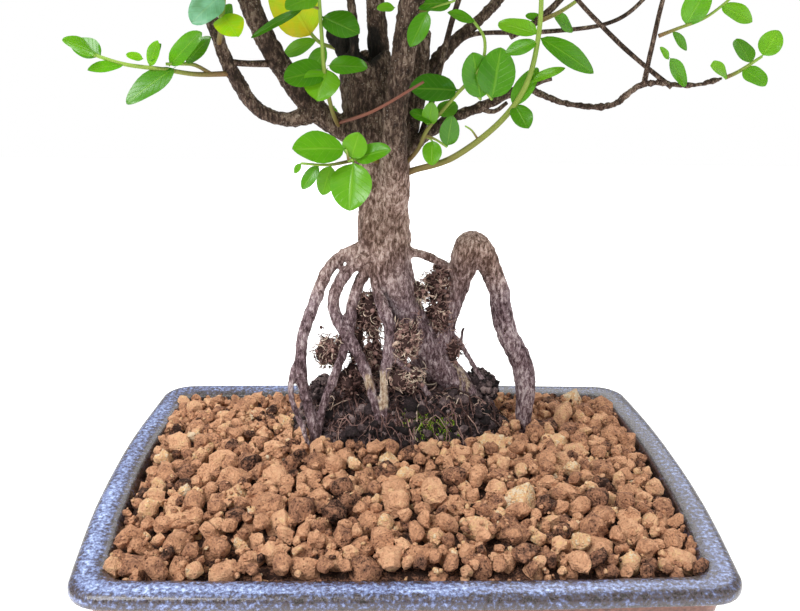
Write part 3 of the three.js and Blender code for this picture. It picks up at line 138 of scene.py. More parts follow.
SEEN_SPRAYS = {
    "spray_left_twig": (
        (((-74, 20, 239, 1.2), (-86, 15, 239, 1), (-98, 11, 241, 0.9), (-112, 7, 243, 0.8),
          (-124, 4, 247, 0.7)),
         ((-80, 17.5, 239, 0.8), (-86, 15.5, 242.5, 0.8), (-91, 14.5, 243, 0.7), (-97, 12, 243, 0.6))),
        (((-93, 12, 242), (-111, 0, 230), 9), ((-96, 13, 242), (-83, 9, 256), 8.5),
         ((-90, 15, 243), (-79.5, 12, 254), 7), ((-103, 10, 242), (-99, 7, 252), 5),
         ((-112, 7, 243), (-124, -1, 242), 5), ((-120, 5, 246), (-132, 8, 252), 8),
         ((-122, 4, 247), (-130, -6, 253), 7)),
    ),
    "spray_left_top": (
        (((-77, 20, 250, 1.2), (-74, 10, 258, 1), (-72, 6, 268, 0.9), (-70, 0, 282, 0.7)),),
        (((-74, 12, 257), (-70, 8, 266), 6), ((-72, 6, 270), (-84, 0, 260), 12),
         ((-73, 8, 262), (-66, -6, 256), 10), ((-70, 0, 280), (-82, -8, 290), 12),
         ((-70, 0, 280), (-58, -10, 284), 10)),
    ),
    "spray_left_inner": (
        (((-27, 30, 214, 1.1), (-31, 20, 224, 0.9), (-34, 16, 240, 0.9), (-35, 14, 256, 0.8),
          (-36, 12, 274, 0.7)),
         ((-29, 25, 219, 0.8), (-14, 10, 226, 0.7), (6, 8, 238, 0.6))),
        (((-35, 13, 260), (-67, 3, 250), 8), ((-33, 17, 241), (-50, 11, 239), 12),
         ((-33, 17, 242), (-37, 7, 231), 13), ((-33, 17, 243), (-17, 12, 244), 8),
         ((-35, 14, 262), (-20, 8, 257), 11), ((-36, 12, 270), (-48, 4, 266), 9),
         ((-36, 12, 272), (-26, 4, 280), 11)),
    ),
    "spray_left_pale": (
        (((-22, 27, 246, 1.1), (-30, 34, 249, 0.9), (-38, 37, 252, 0.8), (-46, 38, 262, 0.7)),),
        (((-40, 37, 253), (-54, 33, 276), 19), ((-38, 37, 252), (-54, 40, 246), 7),
         ((-34, 36, 250), (-44, 41, 234), 8)),
    ),
    "spray_front": (
        (((-10, 24, 203, 1.2), (-19, 12, 206, 0.9), (-24, 3, 207, 0.8)),
         ((-20, 10, 206.3, 0.8), (-32, 3, 205, 0.6), (-43, 0, 206, 0.5))),
        (((-24, 3, 207), (-45, -6, 211), 15), ((-23, 4, 207), (-20, 3, 218), 9),
         ((-22, 6, 207), (-8, -1, 213), 8), ((-24, 3, 207), (-25, -8, 188), 18),
         ((-31, 3, 205), (-35, 1, 193), 7), ((-36, 2, 205), (-43, -1, 196), 5)),
    ),
    "spray_right_low": (
        (((-2, 26, 200, 1.3), (5, 20, 209, 1), (9, 19, 218, 0.9), (19, 17, 231, 0.9),
          (29, 15, 243, 0.8), (31, 18, 254, 0.7), (26, 22, 262, 0.6)),),
        (((21, 17, 234), (1, 12, 236), 12), ((9, 19, 217), (1, 17, 225), 6),
         ((9, 19, 219), (10, 14, 229), 6), ((13, 18, 223), (21, 24, 229), 7),
         ((9, 19, 218), (19, 12, 222), 9), ((7, 19, 213), (9, 12, 204), 9),
         ((24, 16, 237), (32, 9, 248), 14), ((29, 15, 243), (39, 10, 252), 12),
         ((27, 21, 261), (16, 17, 265), 5)),
    ),
    "spray_shoot": (
        (((-3, 25, 197, 2), (4, 22, 200, 1.4), (20, 19, 206, 1.4), (38, 15, 221, 1.3),
          (48, 12, 237, 1.2), (51, 8, 256, 1.1), (50, 4, 276, 1), (44, -6, 304, 0.7)),
         ((30, 17, 214, 0.5), (27, 15, 218, 0.4), (24, 13, 220, 0.35))),
        (((51, 8, 257), (36, 18, 262), 8), ((51, 8, 254), (38, 8, 250), 6),
         ((51, 8, 256), (74, 3, 244), 9), ((48, 12, 238), (62, 7, 245), 4),
         ((43, 14, 228), (52, 12, 244), 7), ((44, 14, 229), (49, 6, 221), 8),
         ((50, 4, 276), (62, -4, 282), 10), ((48, 0, 286), (36, -10, 292), 10),
         ((45, -4, 299), (56, -16, 304), 10), ((44, -6, 304), (36, -18, 312), 11)),
    ),
    "spray_right_top": (
        (((56, 40, 261, 1.2), (66, 37, 266, 0.9), (76, 35, 274, 0.8), (88, 30, 288, 0.6)),),
        (((62, 38, 264), (73, 42, 258), 7), ((76, 35, 274), (88, 44, 278), 9),
         ((80, 33, 279), (76, 22, 288), 9), ((88, 30, 288), (100, 26, 298), 10)),
    ),
    "spray_far_twig": (
        (((100, 11, 257, 0.9), (107, 10, 260, 0.7), (118, 8, 265, 0.6), (130, 6, 276, 0.5)),),
        (((110, 10, 261), (115, 4, 276), 9), ((105, 10, 259), (112, 9, 252), 4),
         ((122, 7, 269), (134, 2, 264), 8), ((128, 6, 274), (140, 4, 282), 8)),
    ),
    "spray_far_tip": (
        (((128.8, 10, 241.2, 0.9), (134, 9, 244, 0.8), (142, 8, 250, 0.6)),),
        (((130, 10, 242), (121, 4, 247), 7), ((135, 9, 245), (143, 2, 240), 8),
         ((138, 8, 247), (134, 16, 257), 7), ((142, 8, 250), (146.5, 6, 260), 8)),
    ),
}


class Slot(Enum):
    """The record's finishes, which a piece can take."""

    GLAZE = "pot_glaze"
    MESH = "drain_mesh"
    CLAY_GRIT = "akadama"
    COMPOST = "compost"
    BARK = "bark"
    LEAF = "leaf_green"


# ---- numbers and curves


class Draw:
    """Seeded draws between 0 and 1, by a linear congruence, the first few thrown away."""

    def __init__(self, seed: int) -> None:
        """Starts the draws.

        Args:
            seed: The whole number that they grow from.
        """
        self.state = seed
        for _ in range(4):
            self()

    def __call__(self) -> float:
        """Returns the next draw."""
        self.state = (self.state * 1664525 + 1013904223) % 4294967296
        return self.state / 4294967296


def unit(vectors: np.ndarray) -> np.ndarray:
    """Returns the vectors at length 1, along the last axis."""
    return vectors / np.maximum(np.linalg.norm(vectors, axis=-1, keepdims=True), 1e-9)


def lattice_noise(points: np.ndarray, seed: int = 0) -> np.ndarray:
    """Smooth noise between -1 and 1: hashed values at whole-numbered places, blended by a smooth step.

    Args:
        points: Places, an array of (..., 3).
        seed: Another number gives another field.

    Returns:
        One value for each place.
    """
    cell = np.floor(points).astype(np.int64)
    part = points - cell
    fade = part * part * (3 - 2 * part)
    total = np.zeros(points.shape[:-1])
    for dx in (0, 1):
        for dy in (0, 1):
            for dz in (0, 1):
                x, y, z = cell[..., 0] + dx, cell[..., 1] + dy, cell[..., 2] + dz
                key = (x * 374761393 + y * 668265263 + z * 1440662683 + seed * 69069) & 0xFFFFFFFF
                key = ((key ^ (key >> 13)) * 1274126177) & 0xFFFFFFFF
                value = ((key ^ (key >> 16)) & 0xFFFF) / 32767.5 - 1
                share = np.where(dx, fade[..., 0], 1 - fade[..., 0])
                share = share * np.where(dy, fade[..., 1], 1 - fade[..., 1])
                total += value * share * np.where(dz, fade[..., 2], 1 - fade[..., 2])
    return total


def rough_noise(points: np.ndarray, seed: int = 0, octaves: int = 3) -> np.ndarray:
    """Returns noise summed over octaves, each of half the size and half the height of the last."""
    return sum(lattice_noise(points * 2**k, seed + 31 * k) / 2**k for k in range(octaves))


class Route:
    """A path through points with a radius at each: a uniform Catmull-Rom curve, carried on past its ends."""

    def __init__(self, points: Iterable[Sequence[float]]) -> None:
        """Takes the points.

        Args:
            points: (x, y, z, radius) of each, in mm.
        """
        rows = np.array(list(points), float)
        self.points, self.radii = rows[:, :3], rows[:, 3]

    def at(self, t: np.ndarray | float) -> np.ndarray:
        """Places on the curve: the cubic through four neighbouring points, blended by its four weights.

        Args:
            t: Shares of the way, 0 to 1.

        Returns:
            An array of (..., 3).
        """
        first, last = 2 * self.points[0] - self.points[1], 2 * self.points[-1] - self.points[-2]
        held = np.vstack([first, self.points, last])
        place = np.clip(np.asarray(t, float), 0, 1) * (len(self.points) - 1)
        k = np.minimum(place.astype(int), len(self.points) - 2)
        w = (place - k)[..., None]
        a, b, c, d = held[k], held[k + 1], held[k + 2], held[k + 3]
        start, end = 0.5 * (c - a), 0.5 * (d - b)
        square = -3 * b + 3 * c - 2 * start - end
        cube = 2 * b - 2 * c + start + end
        return b + start * w + square * w**2 + cube * w**3

    def ahead(self, t: np.ndarray | float) -> np.ndarray:
        """Returns the unit tangent at each place."""
        t = np.asarray(t, float)
        return unit(self.at(np.minimum(t + 1e-4, 1)) - self.at(np.maximum(t - 1e-4, 0)))

    def radius(self, t: np.ndarray | float) -> np.ndarray:
        """Returns the radius at each place, straight between the points."""
        place = np.asarray(t, float) * (len(self.radii) - 1)
        return np.interp(place, np.arange(len(self.radii)), self.radii)

    def length(self) -> float:
        """Returns the curve's length in mm."""
        return float(np.linalg.norm(np.diff(self.at(np.linspace(0, 1, 60)), axis=0), axis=1).sum())

    def frames(self, t: np.ndarray) -> tuple[np.ndarray, np.ndarray, np.ndarray]:
        """Directions for rings along the curve, each turned as little as possible from the last.

        Args:
            t: The rings' places.

        Returns:
            Ahead, side and other, arrays of (n, 3).
        """
        ahead = self.ahead(t)
        side = FIRST_SIDE
        sides = []
        for direction in ahead:
            side = unit(side - direction * float(side @ direction))
            sides.append(side)
        sides = np.array(sides)
        return ahead, sides, np.cross(ahead, sides)


def tube(
    route: Route,
    sides: int,
    steps: int,
    swell: Callable[[np.ndarray, np.ndarray], np.ndarray] | None = None,
    start: float = 0.0,
) -> np.ndarray:
    """A tube's rings: centre + radius * (side * cos angle + other * sin angle), the radius times 1 + swell.

    Args:
        route: The path.
        sides: Points in a ring.
        steps: Stretches between rings.
        swell: Gives the extra share of the radius from t and the angle, on the grid.
        start: Where on the path the tube starts.

    Returns:
        An array of (steps + 1, sides, 3).
    """
    t = np.linspace(start, 1, steps + 1)
    angle = np.linspace(0, 2 * math.pi, sides, endpoint=False)
    _, side, other = route.frames(t)
    radius = np.broadcast_to(route.radius(t)[:, None], (steps + 1, sides))
    if swell is not None:
        radius = radius * (1 + swell(t[:, None], angle[None, :]))
    out = side[:, None] * np.cos(angle)[None, :, None] + other[:, None] * np.sin(angle)[None, :, None]
    return route.at(t)[:, None] + out * radius[..., None]


# ---- meshes


@dataclass
class Skin:
    """A mesh as it is gathered: points, and faces of 3 or 4 corners, with a value or two at each point."""

    points: list[np.ndarray] = field(default_factory=list)
    faces: list[np.ndarray] = field(default_factory=list)
    finishes: list[np.ndarray] = field(default_factory=list)
    values: dict[str, list[np.ndarray]] = field(default_factory=dict)
    count: int = 0

    def add(self, points: np.ndarray, faces: np.ndarray, finish: int = 0,
            **values: np.ndarray | float) -> None:
        """Adds points and faces.

        Args:
            points: An array of (..., 3) in mm.
            faces: Corner numbers in it, (m, 3) or (m, 4).
            finish: Which of the piece's materials these faces take.
            **values: Named numbers, one for each point or one for all. All of a piece has the same names.
        """
        flat = points.reshape(-1, 3)
        self.points.append(flat)
        self.faces.append(faces + self.count)
        self.finishes.append(np.full(len(faces), finish, np.int32))
        for name, value in values.items():
            spread = np.broadcast_to(np.asarray(value, float).reshape(-1), (len(flat),))
            self.values.setdefault(name, []).append(spread)
        self.count += len(flat)

    def make(self, name: str, materials: Sequence[bpy.types.Material] = (), sharp: float | None = None,
             uv: tuple[str, str] | None = None) -> bpy.types.Object:
        """Makes the Blender object, its points in metres.

        Args:
            name: The piece's name.
            materials: Its materials, in the order of the finishes' numbers.
            sharp: Edges sharper than this angle in degrees stay sharp. None leaves all smooth.
            uv: The two values to hold as a UV map.

        Returns:
            The object, in the scene.
        """
        corners = np.concatenate([block.reshape(-1) for block in self.faces]).astype(np.int32)
        sizes = np.concatenate([np.full(len(block), block.shape[1], np.int32) for block in self.faces])
        mesh = bpy.data.meshes.new(name)
        mesh.vertices.add(self.count)
        mesh.vertices.foreach_set("co", (np.concatenate(self.points) * MM).astype(np.float32).reshape(-1))
        mesh.loops.add(len(corners))
        mesh.loops.foreach_set("vertex_index", corners)
        mesh.polygons.add(len(sizes))
        mesh.polygons.foreach_set("loop_start", (np.cumsum(sizes) - sizes).astype(np.int32))
        mesh.polygons.foreach_set("material_index", np.concatenate(self.finishes))
        mesh.polygons.foreach_set("use_smooth", np.ones(len(sizes), bool))
        mesh.update(calc_edges=True)
        for key, blocks in self.values.items():
            layer = mesh.attributes.new(key, "FLOAT", "POINT")
            layer.data.foreach_set("value", np.concatenate(blocks).astype(np.float32))
        if uv:
            pair = np.stack([np.concatenate(self.values[key]) for key in uv], axis=1)[corners]
            mesh.uv_layers.new(name="UVMap").data.foreach_set("uv", pair.astype(np.float32).reshape(-1))
        for material in materials:
            mesh.materials.append(material)
        if sharp is not None:
            mesh.set_sharp_from_angle(angle=math.radians(sharp))
        piece = bpy.data.objects.new(name, mesh)
        bpy.context.scene.collection.objects.link(piece)
        return piece


def grid_faces(rows: int, columns: int, wrap: bool = False) -> np.ndarray:
    """Quads of a grid of points, numbered row by row: each joins a point, the next and the two a row on.

    Args:
        rows: Rows of points.
        columns: Points in a row.
        wrap: Joins each row's end to its start.

    Returns:
        An array of (m, 4).
    """
    row = np.arange(rows - 1)[:, None] * columns
    here = np.arange(columns if wrap else columns - 1)[None, :]
    after = (here + 1) % columns
    corners = [row + here, row + after, row + columns + after, row + columns + here]
    return np.stack(corners, -1).reshape(-1, 4)


def cap_faces(ring: np.ndarray, centre: int, flip: bool) -> np.ndarray:
    """Returns a fan of triangles from a ring of point numbers to one centre point."""
    after = np.roll(ring, -1)
    pair = (after, ring) if flip else (ring, after)
    return np.stack([*pair, np.full(len(ring), centre)], axis=1)


def add_tube(skin: Skin, rings: np.ndarray, finish: int = 0, **values: np.ndarray | float) -> None:
    """Adds a closed tube to a skin: its rings' quads and a fan over each end.

    Args:
        skin: Takes the tube.
        rings: An array of (n, sides, 3).
        finish: The material's number.
        **values: Named numbers, each one for all the tube or one for each ring.
    """
    count, sides = rings.shape[:2]
    points = np.concatenate([rings.reshape(-1, 3), rings[0].mean(0)[None], rings[-1].mean(0)[None]])
    spread = {}
    for name, value in values.items():
        row = np.broadcast_to(np.asarray(value, float), (count,))
        spread[name] = np.concatenate([np.repeat(row, sides), row[:1], row[-1:]])
    skin.add(points, grid_faces(count, sides, wrap=True), finish, **spread)
    first, last = np.arange(sides), np.arange(sides) + (count - 1) * sides
    base = skin.count - len(points)
    ends = cap_faces(first, count * sides, flip=True), cap_faces(last, count * sides + 1, flip=False)
    for block in ends:
        skin.faces.append(block + base)
        skin.finishes.append(np.full(len(block), finish, np.int32))


def add_threads(skin: Skin, lines: np.ndarray, radii: np.ndarray, tint: np.ndarray, sides: int = 3) -> None:
    """Adds thin tubes: round each line, radius * (side * cos + other * sin), tapered at both ends by a sine.

    Args:
        skin: Takes the threads.
        lines: The points of each, (n, steps, 3).
        radii: One for each line.
        tint: One for each line.
        sides: Points in a ring.
    """
    count, steps = lines.shape[:2]
    ahead = unit(np.gradient(lines, axis=1))
    side = unit(np.cross(ahead, FIRST_SIDE))
    other = np.cross(ahead, side)
    angle = np.arange(sides)[:, None] * 2 * math.pi / sides
    taper = np.sin(np.linspace(0.15, math.pi - 0.15, steps)) ** 0.4
    out = side[:, :, None] * np.cos(angle) + other[:, :, None] * np.sin(angle)
    rings = lines[:, :, None] + out * (radii[:, None] * taper)[..., None, None]
    starts = (np.arange(count) * steps * sides)[:, None, None]
    skin.add(rings, (grid_faces(steps, sides, wrap=True)[None] + starts).reshape(-1, 4),
             tint=np.repeat(tint, steps * sides))


def ball_shape(splits: int) -> tuple[np.ndarray, np.ndarray]:
    """A round ball of near-equal triangles, from an icosahedron split 0, 1 or 2 times.

    Args:
        splits: How many times each triangle becomes four.

    Returns:
        Unit points (n, 3) and triangles (m, 3).
    """
    g = (1 + math.sqrt(5)) / 2
    points = [(-1, g, 0), (1, g, 0), (-1, -g, 0), (1, -g, 0), (0, -1, g), (0, 1, g), (0, -1, -g), (0, 1, -g),
              (g, 0, -1), (g, 0, 1), (-g, 0, -1), (-g, 0, 1)]
    faces = [(0, 11, 5), (0, 5, 1), (0, 1, 7), (0, 7, 10), (0, 10, 11), (1, 5, 9), (5, 11, 4), (11, 10, 2),
             (10, 7, 6), (7, 1, 8), (3, 9, 4), (3, 4, 2), (3, 2, 6), (3, 6, 8), (3, 8, 9), (4, 9, 5),
             (2, 4, 11), (6, 2, 10), (8, 6, 7), (9, 8, 1)]
    shape, triangles = unit(np.array(points, float)), np.array(faces)
    for _ in range(splits):
        sides = [triangles[:, [k, (k + 1) % 3]] for k in range(3)]
        edges = np.sort(np.concatenate(sides), axis=1)
        pairs, which = np.unique(edges, axis=0, return_inverse=True)
        ab, bc, ca = which.reshape(3, -1) + len(shape)
        shape = np.concatenate([shape, unit(shape[pairs].mean(1))])
        a, b, c = triangles.T
        quarters = (a, ab, ca), (b, bc, ab), (c, ca, bc), (ab, bc, ca)
        triangles = np.concatenate([np.stack(corners, 1) for corners in quarters])
    return shape, triangles


def seat(piece: bpy.types.Object, slot: Slot, *nodes: str) -> bpy.types.Object:
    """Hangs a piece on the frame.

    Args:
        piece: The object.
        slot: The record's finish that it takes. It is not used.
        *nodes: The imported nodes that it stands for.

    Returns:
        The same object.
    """
    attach(piece, "root")
    if nodes:
        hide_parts(*nodes)
    stood_for = ", ".join(nodes) or "nothing"
    LOG.info("%s: %d faces, stands for %s", piece.name, len(piece.data.polygons), stood_for)
    return piece


# ---- materials


def linear(code: str) -> tuple[float, float, float, float]:
    """Returns the linear colour of an sRGB hex code such as #8FAEE0."""
    parts = [int(code[k : k + 2], 16) / 255 for k in (1, 3, 5)]
    return (*(p / 12.92 if p <= 0.04045 else ((p + 0.055) / 1.055) ** 2.4 for p in parts), 1.0)


def per_mm(size: float) -> float:
    """Returns the texture scale whose features are about this size in mm, on coordinates in metres."""
    return 1000 / size


Source = bpy.types.Node | bpy.types.NodeSocket


def feed(tree: bpy.types.NodeTree, value: object, target: bpy.types.NodeSocket) -> None:
    """Links an input from a socket or from a node's first output, or else sets it to a constant."""
    if isinstance(value, bpy.types.Node):
        value = value.outputs[0]
    if isinstance(value, bpy.types.NodeSocket):
        tree.links.new(value, target)
    else:
        target.default_value = value


def add_node(tree: bpy.types.NodeTree, kind: str, settings: dict | None = None, inputs: dict | None = None,
             stops: Sequence[tuple[float, str]] = ()) -> bpy.types.Node:
    """Adds a node with its settings and links.

    Args:
        tree: The material's tree.
        kind: The node's type name, less the ShaderNode that it starts with.
        settings: Properties to set on it.
        inputs: For each input, by name or number, a constant, a socket, or a node for its first output.
        stops: A colour ramp's places and hex colours.

    Returns:
        The node.
    """
    node = tree.nodes.new(f"ShaderNode{kind}")
    for key, value in (settings or {}).items():
        setattr(node, key, value)
    for key, value in (inputs or {}).items():
        feed(tree, value, node.inputs[key])
    for k, (place, code) in enumerate(stops):
        element = node.color_ramp.elements[k] if k < 2 else node.color_ramp.elements.new(place)
        element.position, element.color = place, linear(code)
    return node


@dataclass(frozen=True)
class Finish:
    """What every finish has: a material with one Principled surface, and its mesh coordinates."""

    name: str

    def start(self, **constants: float) -> tuple[bpy.types.Material, Callable, bpy.types.Node]:
        """Makes the material.

        Args:
            **constants: Principled inputs, with _ for a space in their names.

        Returns:
            The material, add_node with its tree given, and its Principled node.
        """
        material = bpy.data.materials.new(self.name)
        material.use_nodes = True
        tree = material.node_tree
        tree.nodes.clear()
        inputs = {key.replace("_", " "): value for key, value in constants.items()}
        body = add_node(tree, "BsdfPrincipled", inputs=inputs)
        add_node(tree, "OutputMaterial", inputs={"Surface": body})
        return material, partial(add_node, tree), body

    def dress(self, add: Callable, body: bpy.types.Node, height: Source, relief: float,
              **sources: Source) -> None:
        """Feeds the surface its relief and its varied inputs.

        Args:
            add: add_node with the material's tree given.
            body: The Principled node.
            height: What gives the relief.
            relief: Its depth in mm at full height.
            **sources: What feeds the Principled inputs, with _ for a space in their names.
        """
        tree = body.id_data
        bump = add("Bump", inputs={"Height": height, "Distance": relief * MM})
        feed(tree, bump, body.inputs["Normal"])
        for key, source in sources.items():
            feed(tree, source, body.inputs[key.replace("_", " ")])


@dataclass(frozen=True)
class Glaze(Finish):
    """Glossy blue glaze over red-brown clay: it breaks brown where it is thin and pools pale blue."""

    def make(self) -> bpy.types.Material:
        """Returns the material. The mesh's "glaze" value is how thick the glaze lies, 0 for bare clay."""
        material, add, body = self.start(Coat_Weight=0.35, Coat_Roughness=0.1)
        place = add("TexCoord").outputs["Object"]
        pool = add("TexNoise", inputs={"Vector": place, "Scale": per_mm(42), "Detail": 3.0})
        cloud = add("TexNoise", inputs={"Vector": place, "Scale": per_mm(6), "Detail": 5.0,
                                                  "Roughness": 0.7, "Distortion": 0.5})
        grain = add("TexNoise", inputs={"Vector": place, "Scale": per_mm(1.7), "Detail": 3.0,
                                                  "Roughness": 0.7})
        depth = add("Attribute", {"attribute_name": "glaze"}).outputs["Fac"]
        pooled = add("Math", {"operation": "MULTIPLY_ADD"}, {0: pool, 1: 0.5, 2: depth})
        varied = add("Math", {"operation": "MULTIPLY_ADD"}, {0: cloud, 1: 0.5, 2: pooled})
        # The fine grain's strong share paints pale glint specks over the glaze's mottling: painted
        # highlights.
        mottled_and_glinting = add("Math", {"operation": "MULTIPLY_ADD"}, {0: grain, 1: 2.2, 2: varied})
        level = add("Math", {"operation": "SUBTRACT"}, {0: mottled_and_glinting, 1: 1.69})
        colour = add("ValToRGB", inputs={0: level}, stops=(
            (0.0, "#1E1614"), (0.13, "#45373A"), (0.26, "#343240"), (0.4, "#4A4C64"), (0.55, "#626A92"),
            (0.7, "#7887B2"), (0.85, "#8F9FCA"), (1.0, "#B8C8E8")))
        bare = add("MapRange", inputs={"Value": depth, "From Min": 0.02, "From Max": 0.1})
        clay = add("TexNoise", inputs={"Vector": place, "Scale": per_mm(1.6), "Detail": 4.0})
        earth = add("ValToRGB", inputs={0: clay}, stops=((0.3, "#5C3A30"), (0.7, "#86594A")))
        final = add("Mix", {"data_type": "RGBA"}, {0: bare, 6: earth, 7: colour})
        gloss = add("MapRange", inputs={"Value": bare, "To Min": 0.85, "To Max": 0.24})
        self.dress(add, body, grain, 0.7, Base_Color=final.outputs[2], Roughness=gloss)
        return material


@dataclass(frozen=True)
class Speckled(Finish):
    """A matt surface whose colour follows one value of the mesh, mottled at two sizes, and pitted."""

    stops: tuple[tuple[float, str], ...]
    value: str
    grain: float
    relief: float
    gloss: float = 0.0
    sway: float = 0.35
    # How far apart the pits lie, in mm
    pits: float = 0.0

    def make(self) -> bpy.types.Material:
        """Returns the material. The mesh's named value picks the colour, and noise sways it."""
        material, add, body = self.start(Roughness=0.92 - self.gloss, Specular_IOR_Level=0.3)
        place = add("TexCoord").outputs["Object"]
        coarse = add("TexNoise", inputs={"Vector": place, "Scale": per_mm(self.grain * 4)})
        fine = add("TexNoise", inputs={"Vector": place, "Scale": per_mm(self.grain),
                                                 "Detail": 6.0, "Roughness": 0.7})
        tint = add("Attribute", {"attribute_name": self.value}).outputs["Fac"]
        height = add("Math", {"operation": "ADD"}, {0: coarse, 1: fine})
        if self.pits:
            # The pits dent the relief and, through the height, darken the colour as well: painted shade in
            # the pits.
            holes = add("TexVoronoi", inputs={"Vector": place, "Scale": per_mm(self.pits)})
            dent = add("MapRange", {"interpolation_type": "SMOOTHSTEP"}, {
                "Value": holes.outputs["Distance"], "From Min": 0.08, "From Max": 0.4, "To Min": -0.26,
                "To Max": 0.0})
            height = add("Math", {"operation": "ADD"}, {0: height, 1: dent})
        centred = add("Math", {"operation": "SUBTRACT"}, {0: height, 1: 1.0})
        level = add("Math", {"operation": "MULTIPLY_ADD"}, {0: centred, 1: self.sway, 2: tint})
        colour = add("ValToRGB", inputs={0: level}, stops=self.stops)
        self.dress(add, body, height, self.relief, Base_Color=colour)
        return material


@dataclass(frozen=True)
class Bark(Finish):
    """Thin grey-brown bark, speckled pale: browner on the limbs, mauve and darker low on the roots."""

    def make(self) -> bpy.types.Material:
        """Returns the material.

        The mesh's "zone" is 0 on limbs, half on the trunk and 1 on low roots. "peel" is 1 where the bark
        has flaked off, and "rot" is 1 where the wood is black: rotten beside the stump's hollow,
        and painted shade inside it.
        """
        material, add, body = self.start(Roughness=0.8, Specular_IOR_Level=0.25)
        place = add("TexCoord").outputs["Object"]
        along = add("Mapping", inputs={"Vector": place, "Scale": (1.0, 1.0, 0.4)})
        blotch = add("TexNoise", inputs={"Vector": place, "Scale": per_mm(12), "Detail": 4.0})
        patch = add("MapRange", inputs={"Value": blotch, "From Min": 0.1, "From Max": 0.9})
        fibre = add("TexNoise", inputs={"Vector": along, "Scale": per_mm(1.3), "Detail": 6.0,
                                                  "Roughness": 0.72, "Distortion": 0.5})
        both = add("Math", {"operation": "MULTIPLY_ADD"}, {0: fibre, 1: 3.4, 2: patch})
        tone = add("Math", {"operation": "SUBTRACT"}, {0: both, 1: 1.72})
        limb, trunk, root = (add("ValToRGB", inputs={0: tone}, stops=stops) for stops in (
            ((0.15, "#2C1F18"), (0.42, "#48372E"), (0.6, "#5C483D"), (0.9, "#8C7869")),
            ((0.1, "#50392F"), (0.4, "#84695D"), (0.62, "#A88C81"), (0.95, "#D4BEB2")),
            ((0.1, "#38272A"), (0.4, "#6A5458"), (0.62, "#8A757A"), (0.95, "#C6B6B7"))))
        zone = add("Attribute", {"attribute_name": "zone"}).outputs["Fac"]
        rise = add("MapRange", inputs={"Value": zone, "From Max": 0.5})
        sink = add("MapRange", inputs={"Value": zone, "From Min": 0.5})
        upper = add("Mix", {"data_type": "RGBA"}, {0: rise, 6: limb, 7: trunk})
        skin = add("Mix", {"data_type": "RGBA"}, {0: sink, 6: upper.outputs[2], 7: root})
        # Pale lenticels and lichen dots, about a millimetre and a half apart
        dots = add("TexVoronoi", inputs={"Vector": place, "Scale": per_mm(1.3)})
        dot = add("MapRange", inputs={"Value": dots.outputs["Distance"], "From Min": 0.1,
                                                "From Max": 0.28, "To Min": 0.5, "To Max": 0.0})
        where = add("MapRange", inputs={"Value": blotch, "From Min": 0.38, "From Max": 0.62})
        share = add("Math", {"operation": "MULTIPLY"}, {0: dot, 1: where})
        dotted = add("Mix", {"data_type": "RGBA"}, {0: share, 6: skin.outputs[2], 7: linear("#CFC0B0")})
        peel = add("Attribute", {"attribute_name": "peel"}).outputs["Fac"]
        wood = add("ValToRGB", inputs={0: fibre},
                   stops=((0.38, "#7E6450"), (0.5, "#B8A088"), (0.62, "#E4D9C6")))
        flaked = add("Mix", {"data_type": "RGBA"}, {0: peel, 6: dotted.outputs[2], 7: wood})
        rot = add("Attribute", {"attribute_name": "rot"}).outputs["Fac"]
        # Black: rotten wood, and painted shade in the stump's hollow
        black = add("ValToRGB", inputs={0: fibre},
                    stops=((0.4, "#100C0B"), (0.62, "#2E2520"), (0.75, "#6A5A4C")))
        final = add("Mix", {"data_type": "RGBA"}, {0: rot, 6: flaked.outputs[2], 7: black})
        self.dress(add, body, tone, 0.45, Base_Color=final.outputs[2])
        return material


